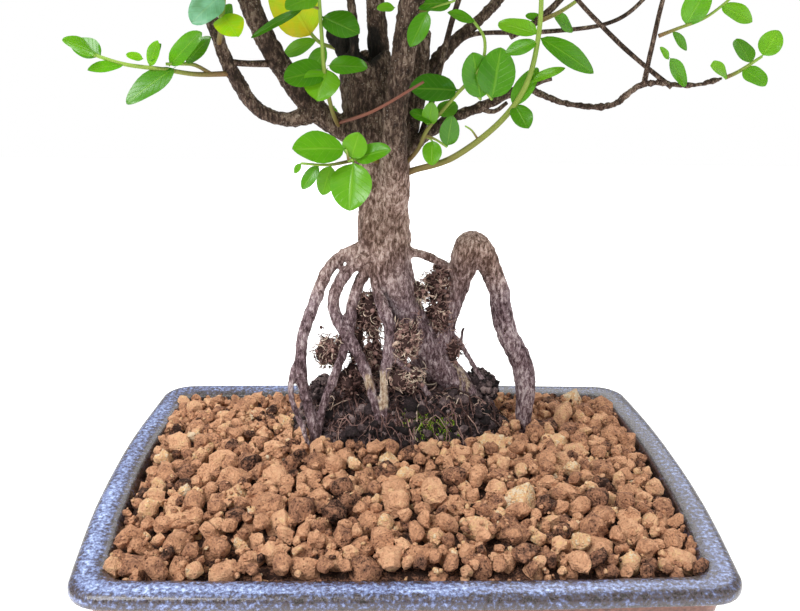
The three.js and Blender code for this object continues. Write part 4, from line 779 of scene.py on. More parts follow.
@dataclass(frozen=True)
class Leaf(Finish):
    """A thin glossy leaf with a pale midrib and side veins, that lets light through."""

    stops: tuple[tuple[float, str], ...]

    def make(self) -> bpy.types.Material:
        """Returns the material. UV is (across, along) the leaf, "tone" its own colour."""
        material, add, body = self.start(Roughness=0.3, Specular_IOR_Level=0.4, Coat_Weight=0.15,
                                         Coat_Roughness=0.2)
        tree = body.id_data
        flat = add("SeparateXYZ", inputs={0: add("UVMap", {"uv_map": "UVMap"})})
        off = add("Math", {"operation": "SUBTRACT"}, {0: flat.outputs["X"], 1: 0.5})
        side = add("Math", {"operation": "ABSOLUTE"}, {0: off})
        rib = add("MapRange", {"interpolation_type": "SMOOTHSTEP"}, {
            "Value": side, "From Min": 0.012, "From Max": 0.05, "To Min": 1.0, "To Max": 0.0})
        # Side veins run forwards at a slant: stripes of along - 0.55 * distance from the midrib
        slant = add("Math", {"operation": "MULTIPLY_ADD"}, {0: side, 1: -0.55, 2: flat.outputs["Y"]})
        many = add("Math", {"operation": "MULTIPLY"}, {0: slant, 1: 7.5})
        near = add("Math", {"operation": "PINGPONG"}, {0: many, 1: 0.5})
        vein = add("MapRange", {"interpolation_type": "SMOOTHSTEP"}, {
            "Value": near, "From Min": 0.0, "From Max": 0.09, "To Min": 0.55, "To Max": 0.0})
        lines = add("Math", {"operation": "MAXIMUM"}, {0: rib, 1: vein})
        place = add("TexCoord").outputs["Object"]
        cloud = add("TexNoise", inputs={"Vector": place, "Scale": per_mm(7), "Detail": 3.0})
        tone = add("Attribute", {"attribute_name": "tone"}).outputs["Fac"]
        swayed = add("Math", {"operation": "MULTIPLY_ADD"}, {0: cloud, 1: 0.2, 2: tone})
        level = add("Math", {"operation": "SUBTRACT"}, {0: swayed, 1: 0.1})
        blade = add("ValToRGB", inputs={0: level}, stops=self.stops)
        paler = add("Mix", {"data_type": "RGBA", "blend_type": "SCREEN"},
                    {0: 0.4, 6: blade, 7: linear("#7C9A34")})
        final = add("Mix", {"data_type": "RGBA"}, {0: lines, 6: blade, 7: paler.outputs[2]})
        sunk = add("Math", {"operation": "MULTIPLY_ADD"}, {0: lines, 1: -1.0, 2: cloud})
        self.dress(add, body, sunk, 0.15, Base_Color=final.outputs[2])
        glow = add("BsdfTranslucent", inputs={"Color": paler.outputs[2]})
        mixed = add("MixShader", inputs={0: 0.3, 1: body, 2: glow})
        output = next(node for node in tree.nodes if node.bl_idname == "ShaderNodeOutputMaterial")
        feed(tree, mixed, output.inputs["Surface"])
        return material


# Glaze over clay: the pot's blue lip, breaking brown at its edges
GLAZE = Glaze("glazed_ceramic")
# Baked clay granules, from dark grey-brown through orange-brown to ochre, pitted
GRIT_CLAY = Speckled("baked_clay", (
    (0.0, "#341E14"), (0.1, "#6C4A3A"), (0.26, "#AA785C"), (0.5, "#DAA07A"), (0.7, "#F0B68E"),
    (0.86, "#F8C69A"), (0.95, "#F6C888"), (1.0, "#FAE0C0")), "tint", 0.9, 2.6, sway=0.8, pits=1.2)
# Old dark compost with a few lighter crumbs
COMPOST = Speckled("dark_compost", (
    (0.0, "#060404"), (0.38, "#1E1516"), (0.62, "#403335"), (0.82, "#6C5A5A"), (1.0, "#9A8682")),
    "tint", 0.8, 1.4, sway=0.8)
# Fine roots and fibres, from dark brown to straw
FIBRE = Speckled("root_fibre", (
    (0.0, "#1A0F0E"), (0.3, "#4E3632"), (0.55, "#876862"), (0.78, "#B09084"), (1.0, "#E4D2BC")),
    "tint", 0.9, 0.3)
# Low moss, olive to bright green
MOSS = Speckled("moss", ((0.0, "#3B4A16"), (0.5, "#6B8A1E"), (1.0, "#A4C23A")), "tint", 0.6, 0.1)
# Black woven plastic of the drain meshes
PLASTIC = Speckled("black_plastic", ((0.0, "#1A1B1A"), (1.0, "#2B2C2A")), "tint", 0.5, 0.05, gloss=0.4)
# Bark of the trunk, roots and limbs
BARK = Bark("bark")
# Leaves: pale bluish at the start of the ramp, a painted glossy sheen, then dark to bright green,
# yellow-green and yellow
LEAF = Leaf("leaf_blade", ((0.0, "#86C6A0"), (0.1, "#2A6C08"), (0.3, "#387A04"), (0.5, "#4C9404"),
                           (0.75, "#74B414"), (0.9, "#9AD30C"), (1.0, "#D8C410")))
# Green shoots, reddish brown at the foot
SHOOT = Speckled("green_shoot", (
    (0.0, "#7A4A3C"), (0.3, "#7A6A3C"), (0.6, "#84963E"), (1.0, "#8DB04A")),
    "tone", 1.0, 0.05, gloss=0.3, sway=0.1)


# ---- the pot


@dataclass
class Pot:
    """One fired piece: a wall profile carried round a bowed rectangle, four feet and two drain holes."""

    length: float = 260
    width: float = 187
    corner: float = 14
    bow_ends: float = 5
    bow_sides: float = 1.5
    floor: float = 8
    inner_floor: float = 13
    foot_leg: float = 34
    foot_width: float = 12
    foot_inset: float = 4
    # Corners get this much tighter for each mm of inset, down to a least radius
    corner_loss: float = 0.4
    corner_least: float = 5
    # Hand-made unevenness and how far apart its waves lie
    warp: float = 0.25
    warp_size: float = 30
    drain_radius: float = 9
    drill_depth: float = 30
    drain_x: float = 55
    # Each point is (inset from the rim, height, how thick the glaze lies there)
    wall: tuple[tuple[float, float, float], ...] = (
        (18, 8, 0), (14.5, 14, 0), (8, 42, 0), (5.5, 60.5, 0), (3.2, 61.2, 0.02), (0.4, 62.3, 0.16),
        (0, 63.6, 0.3), (0, 65.2, 0.4), (0.5, 66.8, 0.14), (2.4, 68, 0.42), (4.2, 68.1, 0.66),
        (7.2, 68, 0.6), (10.2, 67.6, 0.3), (12, 66.8, 0.08), (13, 65.4, 0.14), (14.5, 60, 0.1), (20, 13, 0),
    )
    # How much the glaze value drops towards the right end and towards the back, so the lip turns greyer and
    # darker there
    fade: tuple[float, float] = (0.42, 0.3)

    @property
    def inner_inset(self) -> float:
        """How far inside the rim the inner wall starts."""
        return self.wall[-2][0]

    def ring(self, inset: np.ndarray, arc: int = 8, side: int = 22) -> np.ndarray:
        """The outline at each inset: quarter circles joined by sides that bow out as 1 - along**2.

        Args:
            inset: How far inside the rim, in mm, an array of (n,).
            arc: Points in a corner.
            side: Points along a side.

        Returns:
            x and y, an array of (n, 4 * (arc + side), 2).
        """
        inset = np.asarray(inset, float)[:, None]
        half_x = self.length / 2 - self.bow_ends - inset
        half_y = self.width / 2 - self.bow_sides - inset
        corner = np.maximum(self.corner - inset * self.corner_loss, self.corner_least)
        along = np.linspace(1, -1, side + 2)[None, 1:-1]
        bow = 1 - along**2
        parts = []
        for quarter, (sx, sy) in enumerate(((1, 1), (-1, 1), (-1, -1), (1, -1))):
            angle = (quarter + np.linspace(0, 1, arc)[None]) * math.pi / 2
            parts.append(np.stack([sx * (half_x - corner) + np.cos(angle) * corner,
                                   sy * (half_y - corner) + np.sin(angle) * corner], -1))
            if quarter % 2 == 0:
                pair = sx * (half_x - corner) * along, sy * (half_y + self.bow_sides * bow)
            else:
                pair = sx * (half_x + self.bow_ends * bow), sy * (half_y - corner) * along
            parts.append(np.stack(pair, -1))
        return np.concatenate(parts, axis=1)

    def profile(self, rounds: int = 3) -> np.ndarray:
        """Returns the wall's profile with its corners cut to a quarter, a few times over."""
        line = np.array(self.wall, float)
        for _ in range(rounds):
            cut = np.stack([line[:-1] * 0.75 + line[1:] * 0.25, line[:-1] * 0.25 + line[1:] * 0.75], 1)
            line = np.vstack([line[:1], cut.reshape(-1, 3), line[-1:]])
        return line

    def foot(self, sx: int, sy: int) -> tuple[np.ndarray, np.ndarray]:
        """An L-shaped foot whose lower edge is rounded in.

        Args:
            sx: Which end, -1 or 1.
            sy: Which side, -1 or 1.

        Returns:
            Points and faces.
        """
        base_x = self.length / 2 - self.bow_ends - self.wall[0][0] - self.foot_inset
        base_y = self.width / 2 - self.bow_sides - self.wall[0][0] - self.foot_inset
        leg, wide = self.foot_leg, self.foot_width
        outline = np.array([(0, 0), (leg, 0), (leg, wide), (wide, wide), (wide, leg), (0, leg)], float)
        middle = np.array([(wide / 2, wide / 2), (leg, wide / 2), (leg, wide / 2), (wide / 2, wide / 2),
                           (wide / 2, leg), (wide / 2, leg)])
        levels = ((0.72, 0), (0.93, 0.4), (1, 1.4), (1, self.floor + 1))
        sides = len(outline)
        rows = [np.column_stack([middle + (outline - middle) * share, np.full(sides, z)])
                for share, z in levels]
        points = np.concatenate(rows)
        points[:, 0], points[:, 1] = sx * (base_x - points[:, 0]), sy * (base_y - points[:, 1])
        caps = np.array([(3, 2, 1, 0), (0, 5, 4, 3)])
        top = sides * (len(levels) - 1)
        faces = np.concatenate([grid_faces(len(levels), sides, wrap=True), caps, caps[:, ::-1] + top])
        return points, faces if sx * sy > 0 else faces[:, ::-1]

    def build(self) -> bpy.types.Object:
        """Returns the pot, standing for its node."""
        line = self.profile()
        flat = self.ring(line[:, 0])
        count = flat.shape[1]
        points = np.concatenate([flat, np.broadcast_to(line[:, None, 1:2], (*flat.shape[:2], 1))], -1)
        wobble = self.warp * rough_noise(points / self.warp_size, 3)[..., None] * np.array([1, 1, 0])
        pooled = 1 - self.fade[0] * points[..., 0] / self.length - self.fade[1] * points[..., 1] / self.width
        skin = Skin()
        skin.add(points + wobble, grid_faces(len(line), count, wrap=True)[:, ::-1],
                 glaze=np.repeat(line[:, 2], count) * pooled.reshape(-1))
        ring = np.arange(count)
        for row, z, flip in ((0, self.floor, False), (len(line) - 1, self.inner_floor, True)):
            centre = np.array([[0.0, 0.0, z]])
            skin.add(np.concatenate([(points + wobble)[row], centre]), cap_faces(ring, count, flip), glaze=0)
        for sx in (-1, 1):
            for sy in (-1, 1):
                skin.add(*self.foot(sx, sy), glaze=0)
        pot = skin.make("glazed_pot", [GLAZE.make()], sharp=40)
        self.drill(pot)
        return seat(pot, Slot.GLAZE, "pot")

    def drill(self, pot: bpy.types.Object) -> None:
        """Cuts the drain holes out of the pot and welds its seams."""
        mesh = bmesh.new()
        mesh.from_mesh(pot.data)
        bmesh.ops.remove_doubles(mesh, verts=mesh.verts, dist=1e-5)
        bmesh.ops.recalc_face_normals(mesh, faces=mesh.faces)
        mesh.to_mesh(pot.data)
        mesh.free()
        drills = []
        middle = (self.floor + self.inner_floor) / 2
        for side in (-1, 1):
            bpy.ops.mesh.primitive_cylinder_add(
                vertices=40, radius=self.drain_radius * MM, depth=self.drill_depth * MM,
                location=(side * self.drain_x * MM, 0, middle * MM))
            drills.append(bpy.context.object)
            cut = pot.modifiers.new("drain", "BOOLEAN")
            cut.object, cut.solver = drills[-1], "EXACT"
        graph = bpy.context.evaluated_depsgraph_get()
        pot.data = bpy.data.meshes.new_from_object(pot.evaluated_get(graph))
        pot.modifiers.clear()
        for drill in drills:
            bpy.data.objects.remove(drill)


@dataclass
class DrainMesh:
    """A woven plastic sheet over a drain hole, with small square windows."""

    x: float
    name: str
    side: float = 38
    strand: float = 1.2
    heights: tuple[float, float] = (0.9, 0.8)
    level: float = 13.8
    cells: int = 9

    def build(self) -> bpy.types.Object:
        """Returns the sheet: bars crossing at right angles, standing for its node."""
        skin = Skin()
        box = np.array([(x, y, z) for z in (-1, 1) for y in (-1, 1) for x in (-1, 1)]) / 2.0
        faces = np.array([(0, 2, 3, 1), (4, 5, 7, 6), (0, 1, 5, 4),
                          (2, 6, 7, 3), (0, 4, 6, 2), (1, 3, 7, 5)])
        for k in range(self.cells + 1):
            place = (k / self.cells - 0.5) * (self.side - self.strand)
            for size, centre in (((self.side, self.strand, self.heights[0]), (self.x, place)),
                                 ((self.strand, self.side, self.heights[1]), (self.x + place, 0))):
                skin.add(box * size + (*centre, self.level), faces, tint=0.4)
        sheet = skin.make(f"{self.name}_net", [PLASTIC.make()], sharp=30)
        return seat(sheet, Slot.MESH, self.name)


# ---- the soil


@dataclass
class RootBall:
    """Old dark compost: an oval mound behind the bare roots, with crumbs, hair roots and moss."""

    x: float = 0
    y: float = 37
    radius_x: float = 52
    radius_y: float = 33
    shoulder: float = 73
    mound: float = 24
    flatness: float = 3.4
    # How far it falls past its edge, for each share of the radius, and how far past it is built
    slope: float = 60
    skirt: float = 1.04
    bottom: float = 36
    bumps: float = 2.4
    bump_size: float = 9
    rows: int = 60
    around: int = 150
    crumbs: int = 800
    dust: int = 3200
    hairs: int = 1000
    # Each clod: its crumbs, how many of them are coarse, and its core's share of the radius
    clod_crumbs: int = 820
    clod_coarse: int = 120
    clod_core: float = 0.7
    # Each moss patch is (x, y, radius, blades)
    moss: tuple[tuple[float, float, float, int], ...] = (
        (4, 12, 4, 120), (10, 9, 5, 260), (17, 9, 5, 260), (23, 11, 4, 150), (13, 6, 3, 120),
        (-30, 40, 7, 160), (36, 50, 6, 120), (-4, 58, 8, 160))

    def height(self, x: np.ndarray, y: np.ndarray) -> np.ndarray:
        """Returns the mound's surface: shoulder + mound * (1 - s**flatness), s the share of its radius."""
        s = np.hypot((x - self.x) / self.radius_x, (y - self.y) / self.radius_y)
        inside = self.shoulder + self.mound * (1 - s**self.flatness)
        rough = self.bumps * rough_noise(np.stack([x, y, 0 * x], -1) / self.bump_size, 11)
        return np.where(s < 1, inside, self.shoulder - (s - 1) * self.slope) + rough

    def spread(self, count: int, seed: int, reach: float = 1.0) -> np.ndarray:
        """Returns seeded places on the mound, (count, 3)."""
        random = np.random.default_rng(seed)
        angle = random.uniform(0, 2 * math.pi, count)
        share = np.sqrt(random.uniform(0, 1, count)) * reach
        x = self.x + np.cos(angle) * share * self.radius_x
        y = self.y + np.sin(angle) * share * self.radius_y
        return np.stack([x, y, self.height(x, y)], -1)

    def build(self) -> list[bpy.types.Object]:
        """Returns the mound, its hair roots and its moss."""
        skin = Skin()
        share = np.linspace(0, self.skirt, self.rows)[:, None]
        angle = np.linspace(0, 2 * math.pi, self.around, endpoint=False)[None]
        x = self.x + np.cos(angle) * share * self.radius_x
        y = self.y + np.sin(angle) * share * self.radius_y
        z = self.height(x, y)
        plug = np.stack([x[-1], y[-1], np.full(self.around, self.bottom)], -1)
        points = np.concatenate([np.stack([x, y, z], -1), plug[None]])
        tint = 0.35 + 0.25 * rough_noise(points / 5, 5)
        skin.add(points, grid_faces(self.rows + 1, self.around, wrap=True), tint=tint)
        under = cap_faces(np.arange(self.around), self.around, flip=False)
        skin.add(np.concatenate([plug, plug.mean(0)[None]]), under, tint=0)
        scatter(skin, self.spread(self.crumbs, 7), (0.7, 3), 1, 17, (0.1, 0.95))
        scatter(skin, self.spread(self.dust, 9), (0.4, 1.5), 0, 19, (0.1, 1.0))
        self.clods(skin)
        mound = seat(skin.make("compost_mound", [COMPOST.make()]), Slot.COMPOST, "root_ball")
        return [mound, self.hair_roots(), self.moss_patches()]

    def clods(self, skin: Skin) -> None:
        """Adds the clods at the mound's back: each a core under coarse and fine crumbs."""
        for order, (x, y, z, radius) in enumerate(BALL_LUMPS):
            out = unit(np.random.default_rng(order).normal(0, 1, (self.clod_crumbs, 3)))
            middle = np.array([[x, y, z]])
            scatter(skin, middle, (0, 0), 2, 40 + order, (0.1, 0.2), np.array([radius * self.clod_core]))
            heap = middle + out * radius * (0.84 + 0.14 * rough_noise(out * 2.5, 90 + order))[:, None]
            scatter(skin, heap[: self.clod_coarse], (0.9, 2.4), 1, 50 + order, (0.3, 1.0))
            scatter(skin, heap[self.clod_coarse :], (0.5, 1.7), 0, 55 + order, (0.25, 1.0))

    def hair_roots(self) -> bpy.types.Object:
        """Returns the fine roots lying on the mound: each takes even strides in a direction that wanders."""
        random = np.random.default_rng(29)
        steps = 8
        x, y, _ = self.spread(self.hairs, 23, 0.98).T[:, :, None]
        way = np.linspace(0, 1, steps)[None]
        bend = random.uniform(0, 2 * math.pi, (self.hairs, 1))
        bend = bend + np.cumsum(random.normal(0, 0.55, (self.hairs, steps)), axis=1)
        stride = random.uniform(0.6, 2.8, (self.hairs, 1))
        x, y = x + np.cumsum(np.cos(bend), axis=1) * stride, y + np.cumsum(np.sin(bend), axis=1) * stride
        z = self.height(x, y) + 0.5 + random.uniform(0, 3, (self.hairs, 1)) * np.sin(way * math.pi)
        skin = Skin()
        add_threads(skin, np.stack([x, y, z], -1), random.uniform(0.12, 0.32, self.hairs),
                    0.15 + 0.85 * random.beta(1.2, 2.2, self.hairs))
        return seat(skin.make("hair_roots", [FIBRE.make()]), Slot.COMPOST)

    def moss_patches(self) -> bpy.types.Object:
        """Returns the moss: tufts of tiny pointed leaves, each a single diamond-shaped blade."""
        random = np.random.default_rng(31)
        places = []
        for x, y, radius, count in self.moss:
            angle = random.uniform(0, 2 * math.pi, count)
            share = np.sqrt(random.uniform(0, 1, count))
            px, py = x + np.cos(angle) * share * radius, y + np.sin(angle) * share * radius
            places.append(np.stack([px, py, self.height(px, py) + 0.2], -1))
        base = np.concatenate(places)
        count = len(base)
        lean = unit(random.normal(0, 1, (count, 3)) + (0, 0, 1.6))
        side = unit(np.cross(lean, random.normal(0, 1, (count, 3))))
        size = random.uniform(0.9, 2.1, count)[:, None]
        rows = [base, base + lean * size * 0.5 + side * 0.28, base + lean * size + side * 0.05,
                base + lean * size * 0.5 - side * 0.28]
        skin = Skin()
        faces = (np.arange(count) * 4)[:, None] + np.arange(4)
        skin.add(np.stack(rows, 1), faces, tint=np.repeat(random.uniform(0.1, 1, count), 4))
        return seat(skin.make("moss", [MOSS.make()]), Slot.LEAF)


def scatter(skin: Skin, places: np.ndarray, sizes: tuple[float, float], splits: int, seed: int,
            tints: tuple[float, float], radii: np.ndarray | None = None) -> None:
    """Adds lumps at places: balls squeezed along their axes, pulled out by noise at two sizes, and turned.

    Args:
        skin: Takes the lumps.
        places: Their middles, (n, 3).
        sizes: The least and greatest radius.
        splits: How finely each ball is divided.
        seed: Of the draws.
        tints: The least and greatest tint.
        radii: The radii, where they are known.
    """
    random = np.random.default_rng(seed)
    shape, faces = ball_shape(splits)
    count = len(places)
    if radii is None:
        radii = sizes[0] + (sizes[1] - sizes[0]) * random.uniform(0, 1, count) ** 2.2
    turns = random.normal(0, 1, (count, 4))
    w, x, y, z = (turns / np.linalg.norm(turns, axis=1, keepdims=True)).T
    matrix = np.stack([1 - 2 * (y * y + z * z), 2 * (x * y - w * z), 2 * (x * z + w * y),
                       2 * (x * y + w * z), 1 - 2 * (x * x + z * z), 2 * (y * z - w * x),
                       2 * (x * z - w * y), 2 * (y * z + w * x), 1 - 2 * (x * x + y * y)], -1)
    matrix = matrix.reshape(-1, 3, 3)
    lumps = shape[None] * random.uniform(0.68, 1.2, (count, 1, 3))
    where = lumps * 1.5 + random.uniform(0, 90, (count, 1, 3))
    swell = 1 + 0.34 * lattice_noise(where, seed) + 0.24 * lattice_noise(where * 2.3, seed + 1)
    lumps = lumps * swell[..., None]
    points = places[:, None] + np.einsum("nij,nkj->nki", matrix, lumps) * radii[:, None, None]
    tint = tints[0] + (tints[1] - tints[0]) * random.beta(2.2, 2.0, count)
    skin.add(points, (faces[None] + (np.arange(count) * len(shape))[:, None, None]).reshape(-1, 3),
             tint=np.repeat(tint, len(shape)))


@dataclass
class Grit:
    """Baked clay granules, dropped one by one until they lie as a low dome inside the pot."""

    pot: Pot
    ball: RootBall
    edge: float = 64
    crown: float = 12.5
    depth: float = 7
    cell: float = 0.8
    drops: int = 3600
    crumbs: int = 3200
    # Granules' radii follow a lognormal curve: its middle, its spread, and the least and greatest kept
    middle: float = 2.75
    spread: float = 0.4
    smallest: float = 1.2
    largest: float = 6
    # Places tried for each, how closely they pack, and how far they may stand above the dome
    tries: int = 7
    packing: float = 0.82
    over: float = 1.4
    over_share: float = 0.25
    # Share of the root ball's radius that stays free of granules, and the height that marks such a place
    ball_share: float = 0.97
    blocked: float = 200.0
    # Where roots come up through the grit: (x, y, radius)
    roots: tuple[tuple[float, float, float], ...] = ()

    def surface(self, x: np.ndarray, y: np.ndarray) -> np.ndarray:
        """Returns the height of the dome: edge + crown * (1 - (2x/length)**2) * (1 - (2y/width)**2)."""
        across = np.maximum(1 - (2 * x / self.pot.length) ** 2, 0)
        return self.edge + self.crown * across * np.maximum(1 - (2 * y / self.pot.width) ** 2, 0)

    def dropped(self) -> tuple[np.ndarray, np.ndarray, np.ndarray]:
        """Drops granules on a height map, each where the heap is lowest among a few random places.

        Returns:
            Their middles (n, 3) and radii (n,), and the middles of the crumbs in the hollows (m, 3).
        """
        random = np.random.default_rng(SEED)
        half_x, half_y = (span / 2 - self.pot.inner_inset for span in (self.pot.length, self.pot.width))
        nx, ny = int(2 * half_x / self.cell), int(2 * half_y / self.cell)
        columns, rows = np.arange(nx) * self.cell - half_x, np.arange(ny) * self.cell - half_y
        gx, gy = np.meshgrid(columns, rows, indexing="ij")
        want = self.surface(gx, gy)
        heap = want - self.depth
        past = np.hypot((gx - self.ball.x) / self.ball.radius_x, (gy - self.ball.y) / self.ball.radius_y)
        heap = np.where(past < self.ball_share, self.blocked, heap)
        for x, y, radius in self.roots:
            heap = np.where(np.hypot(gx - x, gy - y) < radius, self.blocked, heap)
        radii = random.lognormal(math.log(self.middle), self.spread, self.drops)
        radii = np.clip(radii, self.smallest, self.largest)
        radii = np.concatenate([np.sort(radii[: self.drops // 3])[::-1], radii[self.drops // 3 :]])
        middles, kept = [], []
        for radius in radii:
            reach = int(radius / self.cell)
            offset = np.arange(-reach, reach + 1) * self.cell
            square = offset[:, None] ** 2 + offset[None] ** 2
            cup = np.sqrt(np.maximum(radius**2 - square, 0))
            inside = square < radius**2
            best = None
            across, along = (random.integers(reach, cells - reach, self.tries) for cells in (nx, ny))
            for i, j in zip(across, along):
                part = np.s_[i - reach : i + reach + 1, j - reach : j + reach + 1]
                z = float(np.where(inside, heap[part] + cup * self.packing, 0).max())
                over = z - want[i, j]
                if best is None or over < best[0]:
                    best = over, part, z, gx[i, j], gy[i, j]
            over, part, z, x, y = best
            if over < self.over + radius * self.over_share:
                raised = np.maximum(heap[part], z + cup * self.packing)
                heap[part] = np.where(inside, raised, heap[part])
                middles.append((x, y, z))
                kept.append(radius)
        i, j = random.integers(2, nx - 2, (3, self.crumbs)), random.integers(2, ny - 2, (3, self.crumbs))
        lowest = np.argmin(heap[i, j] - want[i, j], axis=0), np.arange(self.crumbs)
        i, j = i[lowest], j[lowest]
        crumbs = np.stack([gx[i, j], gy[i, j], heap[i, j] + 0.3], -1)
        return np.array(middles), np.array(kept), crumbs[crumbs[:, 2] < self.blocked / 2]

    def build(self) -> list[bpy.types.Object]:
        """Returns the bed under the granules, the crumbs, and the granules in three bands, front to back."""
        skin = Skin()
        rim = self.pot.ring(np.array([self.pot.inner_inset + 0.4]))[0]
        share = np.linspace(0, 1, 40)[:, None, None]
        flat = rim[None] * share
        top = self.surface(flat[..., 0], flat[..., 1]) - self.depth * 0.6
        points = np.concatenate([flat, top[..., None]], -1)
        low = np.column_stack([rim * 0.93, np.full(len(rim), self.pot.inner_floor + 1.8)])
        count = len(rim)
        wall = grid_faces(len(share) + 1, count, wrap=True)
        # The bed takes the darkest clay tint: painted shade in the gaps between the granules.
        skin.add(np.concatenate([points, low[None]]), wall, tint=0.06)
        under = cap_faces(np.arange(count), count, flip=False)
        skin.add(np.concatenate([low, low.mean(0)[None]]), under, tint=0)
        finish = GRIT_CLAY.make()
        bed = seat(skin.make("grit_bed", [finish]), Slot.CLAY_GRIT, "grit")
        middles, radii, crumbs = self.dropped()
        LOG.info("%d granules lie in the pot", len(radii))
        order = np.argsort(middles[:, 1])
        small = Skin()
        scatter(small, crumbs, (0.5, 1.5), 0, SEED + 5, (0.05, 1.0))
        bands = [seat(small.make("clay_crumbs", [finish]), Slot.CLAY_GRIT)]
        for k, part in enumerate(np.array_split(order, 3)):
            loose = Skin()
            scatter(loose, middles[part], (0, 0), 1, SEED + k, (0.02, 1.0), radii[part] * 1.06)
            bands.append(seat(loose.make(f"granules_{k + 1}", [finish], sharp=34), Slot.CLAY_GRIT))
        return [bed, *bands]


# ---- the tree


